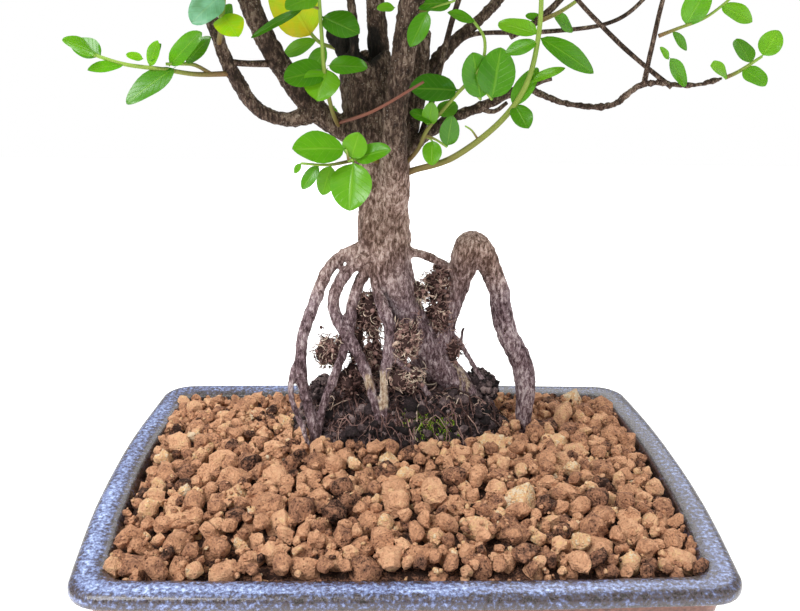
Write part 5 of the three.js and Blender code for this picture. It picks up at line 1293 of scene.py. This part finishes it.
@dataclass
class Tree:
    """Trunk, bare roots, limbs and twigs, grown as one piece, with the old stump hollow at its top."""

    voxel: float = 0.85
    sides: int = 40
    steps: int = 150
    # A limb this thick somewhere is welded to the trunk; thinner ones are twigs
    welded: float = 2.4
    # Bark relief in mm: ridges, crumbling, and how deep flaked patches lie
    ridge: float = 0.62
    crumble: float = 0.2
    flake: float = 0.35
    # Bark turns to root bark below the first height and to limb bark above the second, each over a span
    root_bark: tuple[float, float] = (166, 30)
    limb_bark: tuple[float, float] = (192, 24)
    # Flaked bark in the photograph: (x, y, z, radius)
    peels: tuple[tuple[float, float, float, float], ...] = (
        (-8, 14, 105, 3.4), (-8, 13, 99, 3.2), (-8, 13, 95, 2.6), (-16, 14, 103, 2.6), (29, 32, 97, 4),
        (61, 34, 95, 2.4), (9, 30, 140, 3))
    # Rotten wood beside the hollow, each (x, y, z) and its half sizes
    rotten: tuple = (((-26, 33, 249), (4.5, 4, 9)), ((-30, 34, 254), (3, 3, 6)), ((-22, 32, 243), (5, 4, 6)))
    # Where the wood is black, rotten beside the hollow and painted shade inside it: (x, y, z, radius)
    black: tuple[tuple[float, float, float, float], ...] = ((-28, 33, 251, 12), (-18, 29, 250, 9))

    def fluted(self, t: np.ndarray, angle: np.ndarray) -> np.ndarray:
        """Returns the trunk's swelling: shallow flutes that wind up it, and knobs."""
        flutes = 0.05 * np.cos(3 * angle + 5 * t) + 0.035 * np.cos(7 * angle - 9 * t)
        ring = np.broadcast_arrays(np.cos(angle) * 2, np.sin(angle) * 2, t * 13)
        return flutes + 0.07 * rough_noise(np.stack(ring, -1), 41)

    def knobbly(self, t: np.ndarray, angle: np.ndarray) -> np.ndarray:
        """Returns a root's or limb's swelling: slow bulges and a few joints."""
        ring = np.broadcast_arrays(np.cos(angle) * 1.2, np.sin(angle) * 1.2, t * 9)
        return 0.1 * rough_noise(np.stack(ring, -1), 47)

    def trunk(self) -> np.ndarray:
        """Returns the trunk's rings, ragged at the top and turned in there to leave a hollow."""
        route = Route(TRUNK)
        rings = tube(route, self.sides, self.steps, self.fluted)
        angle = np.linspace(0, 2 * math.pi, self.sides, endpoint=False)
        jag = 3.5 * rough_noise(np.stack([np.cos(angle) * 2, np.sin(angle) * 2, 0 * angle], -1), 3)
        top = rings[-1] + np.column_stack([0 * jag, 0 * jag, jag])
        middle = top.mean(0)
        inner = [middle + (top - middle) * share + (0, 0, -down)
                 for share, down in ((0.78, 0.4), (0.66, 3), (0.52, 7), (0.3, 11))]
        return np.concatenate([rings[:-1], top[None], np.stack(inner)])

    def shards(self, skin: Skin) -> None:
        """Adds the ragged rotten wood beside the stump's hollow: long balls pulled out by noise."""
        shape, faces = ball_shape(2)
        for k, (place, size) in enumerate(self.rotten):
            lump = shape * (1 + 0.6 * rough_noise(shape * 1.9 + 9 * k, 51))[:, None] * size
            skin.add(np.array(place) + lump, faces)

    def build(self) -> list[bpy.types.Object]:
        """Returns the thick wood, welded to one skin, and the thin twigs."""
        thick, thin = Skin(), Skin()
        add_tube(thick, self.trunk())
        for points in ROOTS:
            route = Route(points)
            sides = 18 if route.radii.max() > 4 else 12
            add_tube(thick, tube(route, sides, max(8, int(route.length() / 1.6)), self.knobbly))
        self.shards(thick)
        for points in LIMBS.values():
            route = Route(points)
            group = thick if route.radii.max() >= self.welded else thin
            add_tube(group, tube(route, 12, max(6, int(route.length() / 2)), self.knobbly))
        for spray in range(Crown().sprays):
            add_tube(thin, tube(Crown().twig(spray), 8, 14, self.knobbly))
        wood = thick.make("trunk_and_roots")
        remesh = wood.modifiers.new("weld", "REMESH")
        remesh.mode, remesh.voxel_size = "VOXEL", self.voxel * MM
        smooth = wood.modifiers.new("smooth", "SMOOTH")
        smooth.factor, smooth.iterations = 0.5, 2
        graph = bpy.context.evaluated_depsgraph_get()
        wood.data = bpy.data.meshes.new_from_object(wood.evaluated_get(graph))
        wood.modifiers.clear()
        self.roughen(wood)
        bark = BARK.make()
        wood.data.materials.append(bark)
        seat(wood, Slot.BARK, "tree")
        return [wood, seat(thin.make("fine_twigs", [bark]), Slot.BARK)]

    def roughen(self, wood: bpy.types.Object) -> None:
        """Moves points along their normals by bark relief, and marks zones, flaked patches, and the black of
        rot and of painted shade in the hollow.
        """
        mesh = wood.data
        count = len(mesh.vertices)
        flat, normal = np.empty(count * 3, np.float32), np.empty(count * 3, np.float32)
        mesh.vertices.foreach_get("co", flat)
        mesh.vertices.foreach_get("normal", normal)
        place, normal = flat.reshape(-1, 3) / MM, normal.reshape(-1, 3)
        ridges = np.abs(rough_noise(place * (0.36, 0.36, 0.12), 61)) - 0.35
        grain = rough_noise(place * 0.8, 67)
        peel = np.zeros(count)
        for x, y, z, radius in self.peels:
            streaks = lattice_noise(place * (1.1, 1.1, 0.16), 71)
            away = np.linalg.norm((place - (x, y, z)) * (1, 1, 0.5), axis=1) / radius + 0.9 * streaks
            peel = np.maximum(peel, np.clip((1.05 - away) * 3, 0, 1))
        move = (self.ridge * ridges + self.crumble * grain) * (1 - peel) - self.flake * peel
        moved = (place + normal * move[:, None]) * MM
        mesh.vertices.foreach_set("co", moved.astype(np.float32).reshape(-1))
        # Black wood: rot beside the hollow, and painted shade inside it.
        rot = np.zeros(count)
        for x, y, z, radius in self.black:
            away = np.linalg.norm(place - (x, y, z), axis=1) / radius + 0.3 * lattice_noise(place * 0.4, 77)
            rot = np.maximum(rot, np.clip((1.1 - away) * 4, 0, 1))
        height = place[:, 2] + 12 * lattice_noise(place / 14, 73)
        low, high = self.root_bark, self.limb_bark
        rooty = np.clip((low[0] - height) / low[1], 0, 1)
        limby = np.clip((height - high[0]) / high[1], 0, 1)
        zone = 0.5 + 0.5 * rooty - 0.5 * limby
        for key, value in (("zone", zone), ("peel", peel), ("rot", rot)):
            mesh.attributes.new(key, "FLOAT", "POINT").data.foreach_set("value", value.astype(np.float32))
        mesh.polygons.foreach_set("use_smooth", np.ones(len(mesh.polygons), bool))
        mesh.update()


@dataclass
class RootMats:
    """Matted fine roots that fill the gaps among the bare roots: dark clods wrapped in curled threads."""

    # Each is its middle, its half sizes, how many threads wrap it, and their mean tint
    mats: tuple = (
        ((-33.5, 22, 115.5), (6, 5, 8), 560, 0.5), ((-28, 21, 121), (3, 2.5, 5), 80, 0.5),
        ((-14.3, 27, 130), (8.5, 4, 19), 1100, 0.5), ((-22, 25, 118), (4, 3, 10), 200, 0.45),
        ((-13, 26, 110), (7, 5, 9), 400, 0.45), ((1.6, 18, 122), (7.5, 4, 12), 760, 0.55),
        ((16.5, 35, 145.5), (6.5, 5, 9), 640, 0.42), ((18, 33, 126), (8, 4.5, 12), 760, 0.45),
        ((23.4, 33, 113), (6, 4, 9), 300, 0.4), ((7.7, 30, 141), (4, 3, 6), 160, 0.75),
        ((2, 18, 103), (10, 5, 8), 360, 0.68), ((-24, 22, 101), (8, 6, 8), 300, 0.35))
    steps: int = 5
    core: float = 0.66

    def ragged(self, out: np.ndarray, order: int) -> np.ndarray:
        """Returns a clod's swelling in each direction, as a share of its size."""
        return 0.95 + 0.9 * rough_noise(out * 1.9 + 7 * order, 53)

    def build(self) -> bpy.types.Object:
        """Returns the mats: crumbs and threads on ragged clods, each thread a short drawn-out arc."""
        random = np.random.default_rng(43)
        skin = Skin()
        shape, faces = ball_shape(2)
        for k, (middle, size, count, tint) in enumerate(self.mats):
            clod = shape * self.ragged(shape, k)[:, None] * size * self.core
            skin.add(np.array(middle) + clod, faces, tint=0.14)
            out = unit(random.normal(0, 1, (count, 1, 3)))
            swell = self.ragged(out, k)[..., None]
            centre = np.array(middle) + out * size * swell * random.uniform(0.5, 0.9, (count, 1, 1))
            scatter(skin, centre[::3, 0], (0.4, 1.35), 0, 80 + k, (0.15, tint + 0.4))
            one = unit(np.cross(out, random.normal(0, 1, (count, 1, 3))))
            two = unit(np.cross(out, one) + out * random.normal(0, 0.5, (count, 1, 1)))
            angle = random.uniform(0.4, 2.4, (count, 1)) * np.linspace(0, 1, self.steps)
            curl = random.uniform(0.8, 3.0, (count, 1, 1))
            drift = np.cross(one, two) * random.normal(0, 1.6, (count, 1, 1))
            drift = drift * np.linspace(0, 1, self.steps)[:, None]
            wave = one * (np.cos(angle) - 1)[..., None] + two * np.sin(angle)[..., None]
            add_threads(skin, centre + curl * wave + drift, random.uniform(0.13, 0.3, count),
                        np.clip(random.normal(tint + 0.12, 0.24, count), 0, 1))
        return seat(skin.make("root_mats", [FIBRE.make()]), Slot.BARK)


# ---- the leaves


@dataclass
class Blade:
    """One leaf: where it starts, which way it runs and faces, its length and width, and its own tone."""

    base: np.ndarray
    axis: np.ndarray
    face: np.ndarray
    length: float
    width: float
    tone: float
    fold: float = 0.16
    droop: float = 0.16

    def along(self, rows: int) -> np.ndarray:
        """Returns the shares of the length where the rows lie."""
        return (1 - np.cos(np.linspace(0, math.pi, rows))) / 2

    def points(self, rows: int, columns: int) -> np.ndarray:
        """The blade: ovate, folded up along the midrib, drooping as along**2 and wavy at its edge.

        Half the breadth at a share v of the length, past a short stalk, is
        width/2 * (1 - (2 * v**0.9 - 1)**2)**0.62. The points lie closer at both ends, by half a cosine wave.

        Args:
            rows: Points along it.
            columns: Points across it.

        Returns:
            An array of (rows, columns, 3).
        """
        v = self.along(rows)[:, None]
        u = np.linspace(-1, 1, columns)[None]
        across = unit(np.cross(self.face, self.axis))
        upward = unit(np.cross(self.axis, across))
        blade = np.clip((v - 0.06) / 0.94, 0, 1)
        oval = (1 - (2 * blade**0.9 - 1) ** 2) ** 0.62
        half = np.maximum(self.width / 2 * oval, 0.28 * (1 - blade) + 0.02)
        wave = 0.035 * self.width * np.sin(v * 9 + u * 2 + self.tone * 20) * u**2
        rise = np.abs(u) * half * self.fold + wave - self.droop * self.length * v**2
        side = u * half
        return (self.base + (v * self.length)[..., None] * self.axis + side[..., None] * across
                + (rise + 0 * side)[..., None] * upward)

    def add_to(self, skin: Skin, rows: int, columns: int) -> None:
        """Adds the blade to a skin as its second material."""
        v = np.broadcast_to(self.along(rows)[:, None], (rows, columns))
        u = np.broadcast_to(np.linspace(0, 1, columns)[None], (rows, columns))
        skin.add(self.points(rows, columns), grid_faces(rows, columns), 1, u=u, v=v, tone=self.tone)


@dataclass
class Crown:
    """The crown above the photograph's top edge: sprays spread round a low dome by the golden angle."""

    centre: tuple[float, float, float] = (-1, 0, 332)
    radii: tuple[float, float, float] = (147, 119, 73)
    sprays: int = 32
    lowest: float = 1.45
    inner: float = 0.55
    outer: float = 0.88
    stem: float = 0.95
    tip: float = 0.6
    twig_radius: float = 1.4
    twig_floor: float = 262
    twig_rise: float = 0.06
    twig_sweep: float = 0.2
    shoot_at: tuple[float, float] = (0.24, 0.52)
    shoot_reach: float = 0.62
    shortest: float = 14
    longest: float = 22
    slender: float = 0.56
    round: float = 0.72
    pair_turn: float = 1.2
    stem_pairs: int = 4
    shoot_pairs: int = 3
    clearance: float = 0.3

    def place(self, index: int) -> tuple[np.ndarray, np.ndarray, np.ndarray]:
        """Returns a spray's direction from the crown's middle, and where it starts and ends."""
        level = 1 - (index + 0.5) * self.lowest / self.sprays
        around, ring = index * GOLDEN_ANGLE, math.sqrt(1 - level * level)
        outward = np.array([ring * math.cos(around), ring * math.sin(around), level])
        reach = outward * self.radii
        return outward, self.centre + reach * self.inner, self.centre + reach * self.outer

    def twig(self, index: int) -> Route:
        """The twig that carries a spray, from the nearest place of a limb, by an arc from inside.

        Args:
            index: Which spray.

        Returns:
            Its route.
        """
        outward, start, end = self.place(index)
        best = None
        for points in LIMBS.values():
            route = Route(points)
            for t in np.arange(0.3, 1.0001, 0.05):
                place = route.at(t)
                cost = np.linalg.norm(place - start) + 0.35 * np.linalg.norm(place - end)
                if place[2] > self.twig_floor and (best is None or cost < best[0]):
                    best = cost, place, float(route.radius(t))
        _, root, radius = best
        span = float(np.linalg.norm(root - start))
        middle = (root + start) / 2 - outward * self.twig_sweep * span + UP * self.twig_rise * span
        foot = min(radius * 0.9, self.twig_radius)
        return Route([(*root, foot), (*middle, foot * 0.85), (*start, self.stem)])

    def side_shoots(self, stem: Route, outward: np.ndarray, draw: Draw) -> list[Route]:
        """Returns the two side shoots of a stem, one to each side."""
        reach = float(np.linalg.norm(stem.at(1.0) - stem.at(0.0))) * self.shoot_reach
        shoots = []
        for t, sign in zip(self.shoot_at, (1, -1)):
            start, ahead = stem.at(t), stem.ahead(t)
            side = unit(np.cross(ahead, VIEWER_SIDE if abs(ahead[2]) > 0.9 else UP))
            swing = sign * (0.75 + 0.25 * draw())
            direction = ahead * math.cos(swing) + side * math.sin(swing)
            direction = unit(direction + UP * 0.25 * (draw() - 0.4))
            middle = start + direction * reach * 0.55 + outward * 1.5
            shoots.append(Route([(*start, self.stem * 0.8), (*middle, self.tip),
                                 (*(start + direction * reach), self.tip * 0.8)]))
        return shoots

    def pose(self, route: Route, t: float, roll: float, lean: float, outward: np.ndarray,
             draw: Draw) -> Blade:
        """One leaf on a stem, turned about it by roll and leaning away by lean.

        Args:
            route: The stem.
            t: Where on it.
            roll: Round the stem, in radians.
            lean: Away from it, in radians.
            outward: The way that light comes from.
            draw: The spray's draws.

        Returns:
            The leaf.
        """
        ahead = route.ahead(t)
        side = np.cross(ahead, UP)
        side = unit(side) if np.linalg.norm(side) >= 0.2 else np.array([1.0, 0, 0])
        other = np.cross(side, ahead)
        angle, away = roll + 0.9 * (draw() - 0.5), lean + 0.4 * (draw() - 0.5)
        axis = ahead * math.cos(away) + side * math.cos(angle) * math.sin(away)
        axis = unit(axis + other * math.sin(angle) * math.sin(away) * 0.75)
        face = outward * 0.55 + UP * 0.75 + side * 0.8 * (draw() - 0.5)
        face = unit(face - axis * float(face @ axis))
        length = self.shortest + (self.longest - self.shortest) * draw()
        width = length * (self.slender + (self.round - self.slender) * draw())
        tone = 0.18 + 0.5 * ((length * 7.31 + width * 3.7) % 1.0)
        return Blade(route.at(t), axis, face, length, width, tone)

    def leaves_along(self, route: Route, pairs: int, outward: np.ndarray, draw: Draw) -> list[Blade]:
        """Returns leaves in nearly opposite pairs, each pair turned from the last, and one at the tip."""
        leaves = []
        for pair in range(pairs):
            t = 0.2 + 0.7 * (pair + 0.3 * draw()) / pairs
            for roll in (0, math.pi):
                leaves.append(self.pose(route, t, roll + pair * self.pair_turn, 0.95, outward, draw))
        return [*leaves, self.pose(route, 0.99, 0, 0.1, outward, draw)]

    def spray(self, index: int) -> tuple[list[Route], list[Blade]]:
        """Returns a spray's stems and leaves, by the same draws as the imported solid's."""
        draw = Draw(SEED + 37 * index)
        outward, start, end = self.place(index)
        reach = end - start
        foot = start + self.twig(index).ahead(1.0) * self.clearance
        sway = np.array([draw() - 0.5, draw() - 0.5, draw() * 0.6]) * 9
        near, far = foot + reach * 0.35 + sway, foot + reach * 0.7 + sway * 0.8
        stem = Route([(*foot, self.stem), (*near, self.stem * 0.9), (*far, self.tip),
                      (*end, self.tip * 0.8)])
        shoots = self.side_shoots(stem, outward, draw)
        leaves = self.leaves_along(stem, self.stem_pairs, outward, draw)
        for shoot in shoots:
            leaves += self.leaves_along(shoot, self.shoot_pairs, outward, draw)
        return [stem, *shoots], leaves


@dataclass
class Foliage:
    """All leafy stems: those read from the photograph, and those of the crown."""

    crown: Crown = field(default_factory=Crown)
    near_grid: tuple[int, int] = (15, 9)
    crown_grid: tuple[int, int] = (9, 5)
    # Leaves that are yellowing or yellow-green, one pale bluish with a painted sheen, and one dark with
    # painted shade
    tones: dict = field(default_factory=lambda: {
        # ("spray_left_top", 1) takes the pale bluish start of the ramp: a painted glossy sheen
        ("spray_left_pale", 0): 0.98, ("spray_left_top", 2): 0.92, ("spray_left_top", 1): 0.02,
        ("spray_left_inner", 0): 0.3, ("spray_front", 0): 0.52, ("spray_front", 3): 0.58,
        # ("spray_right_low", 0) is set dark: painted shade on a leaf that lies in shadow
        ("spray_right_low", 0): 0.14, ("spray_right_low", 6): 0.42, ("spray_right_low", 7): 0.4})
    # Leaves drawn where the photograph shows them: base, tip, width, and where their stalk leaves the stem
    redrawn: dict = field(default_factory=lambda: {
        ("spray_right_low", 6): ((30.3, 15, 230.5), (26.3, 13, 249.2), 11.9, (23, 16.2, 235.8)),
        ("spray_right_low", 7): ((34.7, 14, 230.6), (37, 12, 251.3), 13.3, (26, 15.6, 239.4)),
        ("spray_right_low", 4): ((17.1, 17, 210.7), (18.2, 12, 223.8), 7.2, (7.8, 19.3, 215.3)),
        ("spray_right_low", 5): ((10.8, 19, 213.2), (10.6, 12, 204.3), 7.2, (7.4, 19.4, 214.4)),
        ("spray_right_low", 1): ((11.8, 19, 221.2), (1.5, 16, 225.5), 5.4, (12, 18.4, 221.9)),
        ("spray_front", 0): ((-25.1, 3, 211.5), (-45.2, -6, 213.8), 13, (-24, 3, 207)),
        ("spray_front", 3): ((-22.2, 3, 206.7), (-23.6, -8, 189.3), 14.6, (-23.5, 3.9, 206.9)),
        ("spray_left_inner", 0): ((-41.3, 12, 265.2), (-62.4, 6, 255.2), 3.7, (-35.5, 13, 265))})
    broader: float = 1.16
    # The reddish stem of last year, that crosses before the trunk
    ruddy: tuple[str, int] = ("spray_left_inner", 1)
    # Small leaves and their fine stems that have no node of their own: [base, tip, width]
    small_stems: tuple = (
        ((0, 14, 265, 0.7), (6, 10, 265, 0.6), (12, 12, 267, 0.6), (18, 14, 269, 0.5)),
    )
    small_leaves: tuple = (
        ((-6, 4, 266), (-13, 2, 266), 4), ((7, 8, 265), (0, 4, 252), 7), ((17, 14, 268), (2, 10, 268), 8),
        ((-43, 0, 206), (-46, 0, 202), 2.4), ((-103, 10, 244), (-98, 8, 251), 4),
        ((-105, 9, 245), (-111, 7, 247), 3.5), ((-31, 36, 225), (-33, 34, 216), 5),
        ((58, 40, 262), (51, 40, 264), 4), ((105, 10, 248), (101, 9, 253), 3),
        ((105, 10, 249), (113, 8, 238), 6),
    )

    def seen(self, base: Sequence[float], tip: Sequence[float], width: float, key: int) -> Blade:
        """Returns a leaf read from the photograph, its face towards the viewer."""
        start, end = np.array(base, float), np.array(tip, float)
        length = float(np.linalg.norm(end - start))
        axis = (end - start) / length
        face = unit(VIEWER_SIDE - axis * float(VIEWER_SIDE @ axis))
        tone = 0.28 + 0.42 * ((key * 0.618) % 1)
        return Blade(start, axis, face, length, width * self.broader, tone, droop=0.1)

    def piece(self, name: str, stems: Sequence[Route], leaves: Sequence[Blade], grid: tuple[int, int],
              finishes: Sequence[bpy.types.Material], *nodes: str) -> bpy.types.Object:
        """Makes one spray: its stems as tubes and its leaves as blades.

        Args:
            name: The piece's name.
            stems: The stems' routes.
            leaves: The leaves.
            grid: Points along and across a blade.
            finishes: The shoot's and the blade's materials.
            *nodes: The nodes that it stands for.

        Returns:
            The piece.
        """
        skin = Skin()
        for order, route in enumerate(stems):
            rings = tube(route, 6, max(6, int(route.length() / 2)))
            first, last = (0.0, 0.0) if (*nodes, order) == self.ruddy else (0.15, 1.0)
            tone = np.linspace(first, last, len(rings))
            add_tube(skin, rings, 0, u=0.0, v=0.0, tone=tone)
        for leaf in leaves:
            leaf.add_to(skin, *grid)
        return seat(skin.make(name, finishes, uv=("u", "v")), Slot.LEAF, *nodes)

    def build(self) -> list[bpy.types.Object]:
        """Returns every spray."""
        finishes = [SHOOT.make(), LEAF.make()]
        made = []
        for order, (name, (stems, leaves)) in enumerate(SEEN_SPRAYS.items()):
            blades = [self.seen(*self.redrawn.get((name, k), leaf)[:3], key=7 * order + k)
                      for k, leaf in enumerate(leaves)]
            for k, blade in enumerate(blades):
                blade.tone = self.tones.get((name, k), blade.tone)
            routes = [Route(points) for points in stems]
            for (owner, _), (base, _, _, foot) in self.redrawn.items():
                if owner == name:
                    middle = (np.array(base) + foot) / 2 + (0, 0, 0.5)
                    routes.append(Route([(*foot, 0.65), (*middle, 0.5), (*base, 0.5)]))
            made.append(self.piece(f"{name}_leaves", routes, blades, self.near_grid, finishes, name))
        blades = [self.seen(*leaf, key=k + 3) for k, leaf in enumerate(self.small_leaves)]
        routes = [Route(points) for points in self.small_stems]
        made.append(self.piece("small_leaves", routes, blades, self.near_grid, finishes))
        for index in range(self.crown.sprays):
            name = f"spray_{index + 1:02d}"
            stems, leaves = self.crown.spray(index)
            made.append(self.piece(f"{name}_leaves", stems, leaves, self.crown_grid, finishes, name))
        return made


# ---- floor, light and camera


@dataclass
class Studio:
    """A pale floor under soft light, seen from the photograph's place."""

    floor: float = 2.4
    ambient: float = 0.5
    glow: float = 0.45
    lens: float = 39.6
    place: tuple[float, float, float] = (-0.0162, -0.3543, 0.2677)
    pitch: float = 18.97
    yaw: float = 2.27
    roll: float = 1.08
    # Each lamp: its name, place in metres, size in metres and power in watts
    lamps: tuple = (("key", (-0.6, -0.5, 1.1), 0.7, 22.0), ("fill", (0.9, -0.6, 0.7), 1.2, 6.0),
                    ("rear", (0.3, 0.9, 1.0), 1.0, 9.0))
    lit: tuple[float, float, float] = (0, 0, 0.15)

    def build(self) -> None:
        """Makes the floor, the world, three large lights and the camera."""
        half = self.floor / 2
        mesh = bpy.data.meshes.new("floor")
        mesh.from_pydata([(-half, -half, 0), (half, -half, 0), (half, half, 0), (-half, half, 0)], [],
                         [(0, 1, 2, 3)])
        paper = bpy.data.materials.new("white_paper")
        paper.use_nodes = True
        body = paper.node_tree.nodes["Principled BSDF"]
        body.inputs["Base Color"].default_value = linear("#FDFDFD")
        body.inputs["Roughness"].default_value = 0.95
        # The table is lit from below, so that it stays white
        body.inputs["Emission Color"].default_value = linear("#FFFFFF")
        body.inputs["Emission Strength"].default_value = self.glow
        mesh.materials.append(paper)
        floor = bpy.data.objects.new("floor", mesh)
        bpy.context.scene.collection.objects.link(floor)
        world = bpy.data.worlds.new("studio")
        world.use_nodes = True
        sky = world.node_tree.nodes["Background"]
        sky.inputs["Color"].default_value = linear("#FFFFFF")
        # The backdrop itself is pure white, and lights the object a little less
        seen = add_node(world.node_tree, "LightPath").outputs["Is Camera Ray"]
        strength = add_node(world.node_tree, "MapRange", inputs={"Value": seen, "To Min": self.ambient})
        feed(world.node_tree, strength, sky.inputs["Strength"])
        bpy.context.scene.world = world
        bpy.context.scene.view_settings.view_transform = "Standard"
        for name, spot, size, power in self.lamps:
            lamp = bpy.data.lights.new(name, "AREA")
            lamp.shape, lamp.size, lamp.energy = "SQUARE", size, power
            light = bpy.data.objects.new(name, lamp)
            light.matrix_world = self.aim(np.array(spot), np.array(self.lit))
            bpy.context.scene.collection.objects.link(light)
        self.camera()

    def aim(self, spot: np.ndarray, target: np.ndarray) -> Matrix:
        """Returns the matrix of something at a spot whose -Z looks at a target."""
        back = unit(spot - target)
        side = unit(np.cross(UP, back))
        rows = np.column_stack([side, np.cross(back, side), back, spot])
        return Matrix([*rows.tolist(), (0, 0, 0, 1)])

    def camera(self) -> None:
        """Makes the camera: pitched down, yawed towards +X and rolled by its three angles."""
        pitch, yaw, roll = (math.radians(a) for a in (self.pitch, self.yaw, self.roll))
        turn = np.array([[math.cos(yaw), math.sin(yaw), 0], [-math.sin(yaw), math.cos(yaw), 0], [0, 0, 1]])
        ahead = turn @ np.array([0, math.cos(pitch), -math.sin(pitch)])
        lift = turn @ np.array([0, math.sin(pitch), math.cos(pitch)])
        level = turn @ np.array([1.0, 0, 0])
        right = level * math.cos(roll) + lift * math.sin(roll)
        up = lift * math.cos(roll) - level * math.sin(roll)
        lens = bpy.data.cameras.new("camera")
        lens.lens, lens.sensor_width, lens.clip_start = self.lens, 36, 0.01
        camera = bpy.data.objects.new("camera", lens)
        rows = np.column_stack([right, up, -ahead, self.place])
        camera.matrix_world = Matrix([*rows.tolist(), (0, 0, 0, 1)])
        bpy.context.scene.collection.objects.link(camera)
        bpy.context.scene.camera = camera


def main() -> None:
    """Builds the finished pieces in order."""
    logging.basicConfig(level=logging.INFO, format="%(name)s %(message)s")
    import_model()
    pot, ball = Pot(), RootBall()
    feet = tuple((points[-1][0], points[-1][1], points[-1][3]) for points in ROOTS)
    pot.build()
    for side, name in ((-1, "drain_mesh_left"), (1, "drain_mesh_right")):
        DrainMesh(side * pot.drain_x, name).build()
    Grit(pot, ball, roots=feet).build()
    ball.build()
    Tree().build()
    RootMats().build()
    Foliage().build()
    Studio().build()


if __name__ == "__main__":
    main()
